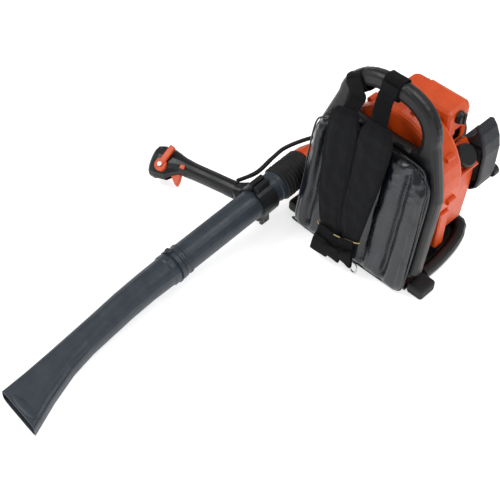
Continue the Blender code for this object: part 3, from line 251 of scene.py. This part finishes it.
def applyStack(piece):
    # the piece's modifiers become part of its mesh
    bpy.context.view_layer.update()
    graph = bpy.context.evaluated_depsgraph_get()
    mesh = bpy.data.meshes.new_from_object(piece.evaluated_get(graph), depsgraph=graph)
    piece.modifiers.clear()
    old = piece.data
    piece.data = mesh
    bpy.data.meshes.remove(old)


def subdivide(piece, levels):
    mod = piece.modifiers.new("smoothed", "SUBSURF")
    mod.levels = levels
    mod.render_levels = levels


def sweep(stations, sides, squareness):
    # closed body swept through stations of centre, across, out, half width, half thickness
    bm = bmesh.new()
    along = bm.verts.layers.float.new("alongBand")
    aside = bm.verts.layers.float.new("acrossBand")
    ring = bmesh.ops.create_circle(bm, cap_ends=False, radius=1.0, segments=sides)["verts"]
    unit = {vert: vert.co.copy() for vert in ring}
    travelled = 0.0
    for count, (centre, across, out, wide, thick) in enumerate(stations):
        if count:
            travelled += (centre - stations[count - 1][0]).length
            edges = [e for e in bm.edges if e.verts[0] in unit and e.verts[1] in unit]
            made = bmesh.ops.extrude_edge_only(bm, edges=edges)["geom"]
            fresh = [part for part in made if isinstance(part, bmesh.types.BMVert)]
            following = {}
            for vert in fresh:
                before = [e.other_vert(vert) for e in vert.link_edges
                          if e.other_vert(vert) in unit]
                following[vert] = unit[before[0]]
            unit = following
        for vert, flat in unit.items():
            x = math.copysign(abs(flat.x) ** (2 / squareness), flat.x)
            y = math.copysign(abs(flat.y) ** (2 / 2.4), flat.y)
            vert.co = centre + across * (wide * x) + out * (thick * y)
            vert[along] = travelled
            vert[aside] = wide * x
    bmesh.ops.holes_fill(bm, edges=[e for e in bm.edges if e.is_boundary], sides=0)
    shell(bm)
    return bm


def smoothRun(points, steps):
    # evenly eased values between rows of numbers
    rows = [list(row) for row in points]
    rows = [[2 * a - b for a, b in zip(rows[0], rows[1])]] + rows
    rows.append([2 * a - b for a, b in zip(rows[-1], rows[-2])])
    run = []
    for k in range(1, len(rows) - 2):
        for j in range(steps):
            t = j / steps
            run.append([0.5 * (2 * b + (c - a) * t + (2 * a - 5 * b + 4 * c - d) * t * t
                               + (3 * b - a - 3 * c + d) * t ** 3)
                        for a, b, c, d in zip(*rows[k - 1:k + 3])])
    run.append(rows[-2])
    return run


# ---- soft finishes
def vinylFinish():
    look = dict(colour=(0.008, 0.011, 0.017), rough=0.26, coat=0.30, coatRough=0.20)
    mat, shader = newFinish("paddedVinyl", look)
    mottle(mat, shader, (0.004, 0.005, 0.008), (0.011, 0.015, 0.023), 22)
    varyRough(mat, shader, 0.20, 0.36, 45)
    grain(mat, shader, 1400, 0.00010, "cells")
    creases = addNode(mat, "ShaderNodeTexNoise", Scale=1.0, Detail=5.0, Roughness=0.6)
    creases.inputs["Distortion"].default_value = 0.6
    wire(mat, objectSpace(mat, (38, 30, 7)), creases.inputs["Vector"])
    raiseBy(mat, shader, creases.outputs["Fac"], 0.0035, 0.22)
    return mat


def wovenFinish(name, colour, dark, thread, depth, sheen):
    mat, shader = newFinish(name, dict(colour=colour, rough=0.82, sheen=sheen))
    shader.inputs["Sheen Roughness"].default_value = 0.5
    shader.inputs["Specular IOR Level"].default_value = 0.22
    mottle(mat, shader, dark, colour, 60)
    across = addNode(mat, "ShaderNodeTexWave", Scale=thread, Distortion=0.6)
    across.bands_direction = "X"
    wire(mat, objectSpace(mat), across.inputs["Vector"])
    down = addNode(mat, "ShaderNodeTexWave", Scale=thread * 0.9, Distortion=0.6)
    down.bands_direction = "Z"
    wire(mat, objectSpace(mat), down.inputs["Vector"])
    woven = addNode(mat, "ShaderNodeMath", operation="MULTIPLY")
    wire(mat, across.outputs["Fac"], woven.inputs[0])
    wire(mat, down.outputs["Fac"], woven.inputs[1])
    raiseBy(mat, shader, woven.outputs["Value"], depth)
    rumple = addNode(mat, "ShaderNodeTexNoise", Scale=55.0, Detail=4.0, Roughness=0.6)
    wire(mat, objectSpace(mat, (1, 1, 0.5)), rumple.inputs["Vector"])
    raiseBy(mat, shader, rumple.outputs["Fac"], 0.0035, 0.5)
    return mat


vinyl = vinylFinish()
strapCloth = wovenFinish("strapCloth", (0.0050, 0.0055, 0.0075), (0.0025, 0.0028, 0.0040), 420,
                         0.0003, 0.03)
webbing = wovenFinish("ribbedWebbing", (0.0045, 0.0048, 0.0062), (0.0020, 0.0022, 0.0030), 260,
                      0.0005, 0.02)


# ---- back cushion: a sewn vinyl pad, blown up by cloth simulation and then channelled
backPad = dict(halfWidth=0.161, low=0.002, shoulder=0.278, top=0.327, back=0.0172,
               front=0.0395, voxel=0.0045, pressure=4.0, cap=0.0075,
               channels=((-0.114, 0.0105, 0.0150), (0.101, 0.0085, 0.0150),
                         (-0.050, 0.0080, 0.0100), (0.043, 0.0095, 0.0130),
                         (0.136, 0.0040, 0.0040), (-0.142, 0.0035, 0.0030)))


def cushionBlank():
    half, low, high, top = (backPad[key] for key in ("halfWidth", "low", "shoulder", "top"))
    right = [(half - 0.020, low), (half - 0.005, low + 0.010), (half, low + 0.030),
             (half - 0.002, 0.150), (half - 0.006, high), (half - 0.022, high + 0.026),
             (half - 0.056, top)]
    bm = bmesh.new()
    verts = [bm.verts.new((x, -backPad["back"], z)) for x, z in right]
    verts += [bm.verts.new((-x, -backPad["back"], z)) for x, z in reversed(right)]
    face = bm.faces.new(verts)
    made = bmesh.ops.extrude_face_region(bm, geom=[face], use_keep_orig=True)["geom"]
    fresh = [part for part in made if isinstance(part, bmesh.types.BMVert)]
    bmesh.ops.translate(bm, vec=(0, backPad["back"] - backPad["front"], 0), verts=fresh)
    shell(bm)
    return bm


def inflate(piece, settings):
    remesh = piece.modifiers.new("evenMesh", "REMESH")
    remesh.mode = "VOXEL"
    remesh.voxel_size = settings["voxel"]
    applyStack(piece)
    rest = [v.co.copy() for v in piece.data.vertices]
    cloth = piece.modifiers.new("blown", "CLOTH")
    cloth.settings.use_pressure = True
    cloth.settings.uniform_pressure_force = settings["pressure"]
    cloth.settings.effector_weights.gravity = 0.0
    cloth.collision_settings.use_collision = False
    cloth.point_cache.frame_start = 1
    cloth.point_cache.frame_end = 20
    stage = bpy.context.scene
    for frameNumber in range(1, 21):
        stage.frame_set(frameNumber)
    applyStack(piece)
    for vert, start in zip(piece.data.vertices, rest):
        move = vert.co - start
        if move.length > settings["cap"]:
            vert.co = start + move.normalized() * settings["cap"]
    stage.frame_set(1)
    calm = piece.modifiers.new("calm", "SMOOTH")
    calm.factor = 0.5
    calm.iterations = 14
    applyStack(piece)


def ridge(x, place, width):
    return math.exp(-((x - place) / width) ** 2)


def makeBackPad():
    piece = makePiece("backCushion", cushionBlank(), vinyl, None)
    inflate(piece, backPad)
    for vert in piece.data.vertices:
        x, y, z = vert.co
        facing = max(0.0, min(1.0, (-y - 0.024) / 0.010))
        reach = max(0.0, min(1.0, (z - 0.006) / 0.03)) * max(0.0, min(1.0, (0.318 - z) / 0.03))
        sink = sum(depth * ridge(x + 0.004 * noise.noise((0, 0, z * 18 + place * 40)), place, width)
                   for place, width, depth in backPad["channels"])
        pleat = noise.noise((x * 70, 0.3, z * 6)) * 0.0012
        pleat += noise.noise((x * 25, 2.1, z * 22)) * 0.0007
        upper = max(0.0, min(1.0, (z - 0.23) / 0.05))
        pleat += noise.noise((x * 80, 4.0, z * 95)) * 0.0024 * upper
        vert.co.y = min(y + (sink * reach + pleat) * facing, -0.0185 if facing > 0 else y)
        vert.co.y = max(vert.co.y, -0.0480)
    piece.data.transform(Matrix.Rotation(-lean, 4, "X"))
    subdivide(piece, 1)
    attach(piece, "machine")
    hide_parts("back_pad")


def makeWelt():
    # sewn welt round the cushion's front edge
    half, low, high, top = (backPad[key] for key in ("halfWidth", "low", "shoulder", "top"))
    right = [(half - 0.026, low + 0.004), (half - 0.010, low + 0.016), (half - 0.007, low + 0.060),
             (half - 0.007, 0.150), (half - 0.009, high - 0.010), (half - 0.025, high + 0.020),
             (half - 0.060, top - 0.004)]
    loop = right + [(-x, z) for x, z in reversed(right)]
    run = smoothRun(loop + [loop[0]], 7)[:-1]
    stations = []
    for k, (x, z) in enumerate(run):
        ahead = Vector((run[(k + 1) % len(run)][0] - run[k - 1][0], 0,
                        run[(k + 1) % len(run)][1] - run[k - 1][1])).normalized()
        out = Vector((0, -1, 0))
        stations.append((Vector((x, -0.0315, z)), ahead.cross(out), out, 0.0022, 0.0022))
    bm = sweep(stations + [stations[0]], 8, 2.0)
    bmesh.ops.transform(bm, matrix=Matrix.Rotation(-lean, 4, "X"), verts=bm.verts)
    piece = makePiece("cushionWelt", bm, vinyl, "machine")


# ---- shoulder straps, hung from the arch and gathered by a rubber band
strapRuns = {
    "strapLeft": dict(node="shoulder_strap_left", flip=1, rows=[
        (-0.068, 0.052, 0.366, 0.0250, 0.0035), (-0.065, 0.0585, 0.350, 0.0340, 0.0062),
        (-0.062, 0.0595, 0.318, 0.0375, 0.0078), (-0.059, 0.0590, 0.235, 0.0375, 0.0080),
        (-0.052, 0.0585, 0.150, 0.0335, 0.0080), (-0.041, 0.0575, 0.088, 0.0310, 0.0066),
        (-0.038, 0.0570, 0.074, 0.0280, 0.0054), (-0.035, 0.0580, 0.058, 0.0290, 0.0070),
        (-0.031, 0.0590, 0.022, 0.0290, 0.0075), (-0.030, 0.0590, 0.014, 0.0250, 0.0040)]),
    "strapRight": dict(node="shoulder_strap_right", flip=-1, rows=[
        (0.018, 0.053, 0.374, 0.0270, 0.0035), (0.018, 0.0580, 0.357, 0.0360, 0.0062),
        (0.018, 0.0590, 0.325, 0.0400, 0.0080), (0.016, 0.0580, 0.240, 0.0360, 0.0082),
        (0.012, 0.0580, 0.150, 0.0310, 0.0080), (0.014, 0.0580, 0.090, 0.0232, 0.0066),
        (0.016, 0.0580, 0.074, 0.0204, 0.0054), (0.017, 0.0590, 0.056, 0.0210, 0.0070),
        (0.018, 0.0595, 0.042, 0.0200, 0.0070), (0.019, 0.0595, 0.035, 0.0170, 0.0040)]),
}


strapLength = 0.352


def makeStrap(name, run):
    rows = smoothRun(run["rows"], 9)
    centres = [onFrame(*row[:3]) for row in rows]
    stations = []
    for k, row in enumerate(rows):
        ahead = (centres[min(k + 1, len(rows) - 1)] - centres[max(k - 1, 0)]).normalized()
        across = Vector((1, 0, 0))
        across = (across - ahead * across.dot(ahead)).normalized()
        out = across.cross(ahead).normalized()
        stations.append((centres[k], across, out, row[3], row[4]))
    bm = sweep(stations, 44, 3.6)
    along = bm.verts.layers.float["alongBand"]
    aside = bm.verts.layers.float["acrossBand"]
    bm.normal_update()
    moves = []
    for vert in bm.verts:
        x, reach = vert[aside], vert[along]
        row = rows[min(len(rows) - 1, int(reach / strapLength * len(rows)))]
        edge = abs(x) / row[3]
        tuck = 0.0012 * ridge(edge, 0.80, 0.06) + 0.0016 * ridge(x, 0.0, 0.0022)
        fold = noise.noise((x * 30, run["flip"] * 3.0, reach * 60)) * 0.0016
        fold += noise.noise((x * 90, run["flip"] * 7.0, reach * 25)) * 0.0010
        moves.append(vert.normal * (fold - tuck))
    for vert, move in zip(bm.verts, moves):
        vert.co += move
    piece = makePiece(name, bm, strapCloth, "machine")
    subdivide(piece, 1)
    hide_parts(run["node"])


def makeBinding(name, run, side):
    # bound edge that runs down one side of a strap
    rows = smoothRun(run["rows"][1:-1], 9)
    stations = []
    for row in rows:
        centre = onFrame(row[0] + side * (row[3] - 0.0012), row[1], row[2])
        stations.append((centre, Vector((1, 0, 0)), onFrame(0, 1, 0), 0.0024, row[4] * 0.62))
    piece = makePiece(name, sweep(stations, 12, 2.4), webbing, "machine")


# ---- webbing that holds the straps to the arch
archLoops = {
    "archLoopLeft": dict(node="strap_loop_left", tilt=-41.0, slip=-0.014, fall=0.004,
                         width=0.042, to=(-0.068, 0.060, 0.338)),
    "archLoopRight": dict(node="strap_loop_right", tilt=1.0, slip=-0.010, fall=0.0,
                          width=0.042, to=(0.021, 0.061, 0.345)),
}


def makeArchLoop(name, loop):
    low, high = (Vector(corner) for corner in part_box(loop["node"]))
    centre = (low + high) / 2
    tilt = math.radians(loop["tilt"])
    turn = Matrix.Rotation(-lean, 4, "X")
    tangent = turn @ Vector((math.cos(tilt), 0, -math.sin(tilt)))
    depth = turn @ Vector((0, 1, 0))
    rise = tangent.cross(depth).normalized()
    centre += tangent * loop["slip"] - rise * loop["fall"]
    bm = bmesh.new()
    ring = bmesh.ops.create_circle(bm, cap_ends=False, radius=1.0, segments=56)["verts"]
    for vert in ring:
        x = math.copysign(abs(vert.co.x) ** 0.62, vert.co.x) * 0.0196
        y = math.copysign(abs(vert.co.y) ** 0.62, vert.co.y) * 0.0242
        vert.co = centre + depth * x + rise * y - tangent * (loop["width"] / 2)
    edges = list(bm.edges)
    steps = 8
    for step in range(steps):
        made = bmesh.ops.extrude_edge_only(bm, edges=edges)["geom"]
        fresh = [part for part in made if isinstance(part, bmesh.types.BMVert)]
        bmesh.ops.translate(bm, vec=tangent * (loop["width"] / steps), verts=fresh)
        edges = [part for part in made if isinstance(part, bmesh.types.BMEdge)
                 and all(v in fresh for v in part.verts)]
    bmesh.ops.recalc_face_normals(bm, faces=bm.faces)
    bmesh.ops.solidify(bm, geom=bm.faces, thickness=0.0022)
    for vert in bm.verts:
        away = vert.co - centre
        swell = noise.noise(vert.co * 45) * 0.0011
        vert.co += (away - tangent * away.dot(tangent)).normalized() * swell
    shell(bm)
    piece = makePiece(name, bm, webbing, "machine", 60)
    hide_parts(loop["node"])

    end = onFrame(*loop["to"])
    front = centre - depth * 0.0222
    hang = front - rise * 0.030 - depth * 0.006
    points = [front + rise * 0.012, front - rise * 0.006, hang * 0.6 + front * 0.4, hang,
              hang * 0.45 + end * 0.55 - depth * 0.004, end, end - onFrame(0, -0.001, 0.020)]
    run = [Vector(row) for row in smoothRun([tuple(p) for p in points], 6)]
    stations = []
    for k, point in enumerate(run):
        share = k / (len(run) - 1)
        ahead = (run[min(k + 1, len(run) - 1)] - run[max(k - 1, 0)]).normalized()
        across = tangent.lerp(Vector((1, 0, 0)), share)
        across = -(across - ahead * across.dot(ahead)).normalized()
        wide = loop["width"] / 2 * (1 - 0.06 * math.sin(math.pi * share))
        stations.append((point, across, across.cross(ahead).normalized(), wide, 0.0014))
    tail = makePiece(name + "Tail", sweep(stations, 20, 6.0), webbing, "machine")


# ---- folded webbing ends under the rubber band
foldedEnds = {
    "foldedEndLeft": dict(across=-0.040, lift=0.078, drop=0.016, width=0.0225, lean=0.05),
    "foldedEndMiddle": dict(across=-0.012, lift=0.074, drop=0.024, width=0.0200, lean=-0.06),
    "foldedEndRight": dict(across=0.014, lift=0.082, drop=0.034, width=0.0170, lean=-0.20),
}


def makeFoldedEnd(name, fold):
    across, lift, drop, slant = (fold[key] for key in ("across", "lift", "drop", "lean"))
    path = [(across, 0.0690, lift), (across - slant * 0.02, 0.0715, lift - 0.02),
            (across - slant * 0.05, 0.0725, drop + 0.020), (across - slant * 0.066, 0.0735, drop),
            (across - slant * 0.068, 0.0765, drop - 0.004), (across - slant * 0.064, 0.0795, drop),
            (across - slant * 0.045, 0.0790, drop + 0.022),
            (across - slant * 0.02, 0.0765, lift - 0.026)]
    rows = smoothRun(path, 7)
    centres = [onFrame(*row) for row in rows]
    stations = []
    flat = onFrame(1, 0, slant * 0.9).normalized()
    for k, centre in enumerate(centres):
        ahead = (centres[min(k + 1, len(rows) - 1)] - centres[max(k - 1, 0)]).normalized()
        wide = (flat - ahead * flat.dot(ahead)).normalized()
        stations.append((centre, wide, wide.cross(ahead).normalized(), fold["width"], 0.0013))
    bm = sweep(stations, 20, 6.0)
    for vert in bm.verts:
        vert.co += Vector((0, 1, 0)) * noise.noise(vert.co * 60) * 0.0012
    piece = makePiece(name, bm, webbing, "machine")


def makeRubberBand():
    # thin band stretched round both straps
    low, high = (Vector(corner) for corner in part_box("strap_band"))
    centre = (low + high) / 2
    ring = []
    count = 72
    for k in range(count):
        turn = 2 * math.pi * k / count
        c, s = math.cos(turn), math.sin(turn)
        x = math.copysign(abs(c) ** 0.8, c) * (high.x - low.x) / 2
        bow = 0.0022 * math.sin(5 * turn) * (1 - abs(c))
        ring.append(centre + Vector((x, 0, -0.004 * (1 - c * c) + x * 0.16))
                    + (onFrame(0, 1, 0) * (math.copysign(abs(s) ** 0.7, s) * 0.0100 + bow)))
    stations = []
    for k, point in enumerate(ring):
        ahead = (ring[(k + 1) % count] - ring[k - 1]).normalized()
        rise = (onFrame(0, 0, 1) - ahead * ahead.dot(onFrame(0, 0, 1))).normalized()
        stations.append((point, rise, rise.cross(ahead), 0.0013, 0.0009))
    piece = makePiece("rubberBand", sweep(stations + [stations[0]], 8, 3.0),
                      finishes["bandRubber"], "machine")
    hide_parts("strap_band")


makeBackPad()
makeWelt()
for name, run in strapRuns.items():
    makeStrap(name, run)
    makeBinding(name + "EdgeIn", run, 1)
    makeBinding(name + "EdgeOut", run, -1)
for name, loop in archLoops.items():
    makeArchLoop(name, loop)
for name, fold in foldedEnds.items():
    makeFoldedEnd(name, fold)
makeRubberBand()
print("harness and cushion made")


# ---- pleated hose between the elbow and the tube
hose = dict(start=0.0590, end=0.1415, folds=9, crest=0.0402, root=0.0362, wall=0.0018)


def makeHose():
    pitch = (hose["end"] - hose["start"]) / hose["folds"]
    line = []
    for k in range(hose["folds"]):
        base = k * pitch
        for share, radius in ((0.0, hose["root"]), (0.22, hose["root"] + 0.0012),
                              (0.42, hose["crest"]), (0.58, hose["crest"]),
                              (0.78, hose["root"] + 0.0012)):
            line.append((radius, base + share * pitch))
    line.append((hose["root"], hose["folds"] * pitch))
    line += [(radius - hose["wall"], height) for radius, height in reversed(line)]
    bm = bmesh.new()
    verts = [bm.verts.new((radius, 0, height)) for radius, height in line]
    edges = [bm.edges.new(pair) for pair in zip(verts, verts[1:] + verts[:1])]
    bmesh.ops.spin(bm, geom=verts + edges, cent=(0, 0, 0), axis=(0, 0, 1),
                   angle=2 * math.pi, steps=72, use_merge=True)
    shell(bm)
    for vert in bm.verts:
        around = math.atan2(vert.co.y, vert.co.x)
        push = noise.noise((math.cos(around) * 3.2, math.sin(around) * 3.2, vert.co.z * 90))
        flat = Vector((vert.co.x, vert.co.y, 0)).normalized()
        inside = math.sin(math.pi * vert.co.z / (hose["end"] - hose["start"]))
        vert.co += flat * push * 0.0013 * inside
        vert.co.z += noise.noise((around * 1.5, 5.0, vert.co.z * 60)) * 0.0016 * inside
    turn = Matrix.Rotation(math.radians(90) + tubeSlope, 4, "X")
    bmesh.ops.transform(bm, verts=bm.verts, matrix=Matrix.Translation(tubePivot) @ turn
                        @ Matrix.Translation((0, 0, hose["start"])))
    piece = makePiece("pleatedHose", bm, finishes["mouldedRubber"], None, 70)
    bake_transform(piece, "elbow", "bellows", start=tuple(alongTube(0.066)), end=tuple(alongTube(0.134)))
    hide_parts("bellows_hose")


makeHose()
print("pleated hose made")


# ---- throttle cable: four lengths, each bending across one joint on its way to the grip
cableRuns = {
    "cableAtEngine": dict(rows=(0, 24), radius=0.0040, bodies=("machine", "elbow"), bend=(10, 24)),
    "cableAtHose": dict(rows=(24, 41), radius=0.0046, bodies=("elbow", "bellows"), bend=(27, 39)),
    "cableAtTube": dict(rows=(41, 51), radius=0.0050, bodies=("bellows", "blow_pipe"),
                        bend=(42, 50)),
    "cableAtGrip": dict(rows=(51, 56), radius=0.0046, bodies=("blow_pipe", "handle"),
                        bend=(51, 55)),
}


gripRoot = Vector((-0.2848, -0.0828, 0.0743))


def makeCable():
    points = [Vector((-0.118, 0.150, 0.215)), Vector((-0.150, 0.134, 0.190)),
              Vector((-0.172, 0.110, 0.168)), alongTube(0.020, -0.006, 0.054),
              alongTube(0.0685, -0.038, 0.038), alongTube(0.106, -0.045, 0.027),
              alongTube(0.156, -0.046, 0.018), gripRoot]
    centres = [Vector(row) for row in smoothRun([tuple(p) for p in points], 8)]
    stations = []
    for k, centre in enumerate(centres):
        following = centres[min(k + 1, len(centres) - 1)]
        ahead = (following - centres[max(k - 1, 0)]).normalized()
        across = ahead.cross(Vector((0, 0, 1))).normalized()
        stations.append([centre, across, across.cross(ahead), 0, 0])
    for name, run in cableRuns.items():
        first, last = run["rows"]
        part = [row[:3] + [run["radius"]] * 2 for row in stations[first:last + 1]]
        piece = makePiece(name, sweep(part, 20, 2.0), finishes["mouldedRubber"], None, 60)
        start, end = (tuple(centres[k]) for k in run["bend"])
        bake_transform(piece, *run["bodies"], start=start, end=end)
        if name == "cableAtEngine":
            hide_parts("throttle_cable")


makeCable()
print("cable made")


# ---- raised oval near the nozzle's mouth
nozzleOval = dict(at=(-0.1600, -0.7900, 0.0345), turn=-5, half=(0.0400, 0.0120, 0.0028))


def makeNozzleOval():
    long, wide, high = nozzleOval["half"]
    bm = bmesh.new()
    bmesh.ops.create_uvsphere(bm, u_segments=48, v_segments=20, radius=1.0)
    for vert in bm.verts:
        x, y, z = vert.co
        level = math.copysign(abs(z) ** 0.7, z)
        vert.co = Vector((x * long, y * wide, level * high))
    spin = Matrix.Rotation(math.radians(nozzleOval["turn"]), 4, "Z")
    turn = Matrix.Translation(nozzleOval["at"]) @ spin
    bmesh.ops.transform(bm, matrix=turn, verts=bm.verts)
    piece = makePiece("nozzleOval", bm, finishes["tubeMoulding"], "nozzle")


makeNozzleOval()
print("nozzle detail made")


# ---- floor, light and camera
def softLight(name, place, aim, size, power):
    data = bpy.data.lights.new(name, "AREA")
    data.shape = "RECTANGLE"
    data.size = size[0]
    data.size_y = size[1]
    data.energy = power
    light = bpy.data.objects.new(name, data)
    bpy.context.scene.collection.objects.link(light)
    light.location = place
    light.rotation_euler = (Vector(aim) - Vector(place)).to_track_quat("-Z", "Y").to_euler()


def setStage():
    bm = bmesh.new()
    bmesh.ops.create_grid(bm, x_segments=2, y_segments=2, size=6.0)
    mesh = bpy.data.meshes.new("studioFloor")
    bm.to_mesh(mesh)
    bm.free()
    floor = bpy.data.objects.new("studioFloor", mesh)
    bpy.context.scene.collection.objects.link(floor)
    mat, shader = newFinish("paleFloor", dict(colour=(0.92, 0.92, 0.92), rough=0.85))
    shader.inputs["Emission Color"].default_value = (1, 1, 1, 1)
    shader.inputs["Emission Strength"].default_value = 0.66
    mesh.materials.append(mat)
    world = bpy.data.worlds.new("studioWorld")
    world.use_nodes = True
    world.node_tree.nodes["Background"].inputs["Color"].default_value = (1, 1, 1, 1)
    world.node_tree.nodes["Background"].inputs["Strength"].default_value = 0.32
    bpy.context.scene.world = world
    softLight("keyLight", (-1.6, -1.5, 2.4), (-0.2, -0.1, 0.1), (1.3, 1.3), 33)
    softLight("fillLight", (2.4, -0.9, 1.6), (-0.1, 0, 0.2), (1.6, 1.6), 14)
    softLight("topLight", (0.4, 1.3, 2.8), (-0.1, 0, 0.1), (2.0, 1.2), 28)


def setCamera():
    view = dict(turn=41.9, rise=47.1, roll=3.0, reach=3.0, aim=(-0.3098, 0.0, -0.2345),
                lens=87.696)
    az, el, roll = (math.radians(view[key]) for key in ("turn", "rise", "roll"))
    ahead = Vector((-math.sin(az) * math.cos(el), math.cos(az) * math.cos(el), -math.sin(el)))
    flat = Vector((math.cos(az), math.sin(az), 0))
    over = flat.cross(ahead)
    right = flat * math.cos(roll) + over * math.sin(roll)
    up = over * math.cos(roll) - flat * math.sin(roll)
    data = bpy.data.cameras.new("studioCamera")
    data.lens = view["lens"]
    data.sensor_width = 36
    camera = bpy.data.objects.new("studioCamera", data)
    bpy.context.scene.collection.objects.link(camera)
    turned = Matrix((right, up, -ahead)).transposed().to_4x4()
    camera.matrix_world = Matrix.Translation(Vector(view["aim"]) - ahead * view["reach"]) @ turned
    bpy.context.scene.camera = camera


setStage()
setCamera()
bpy.context.scene.view_settings.view_transform = "Standard"
print("stage and camera set")
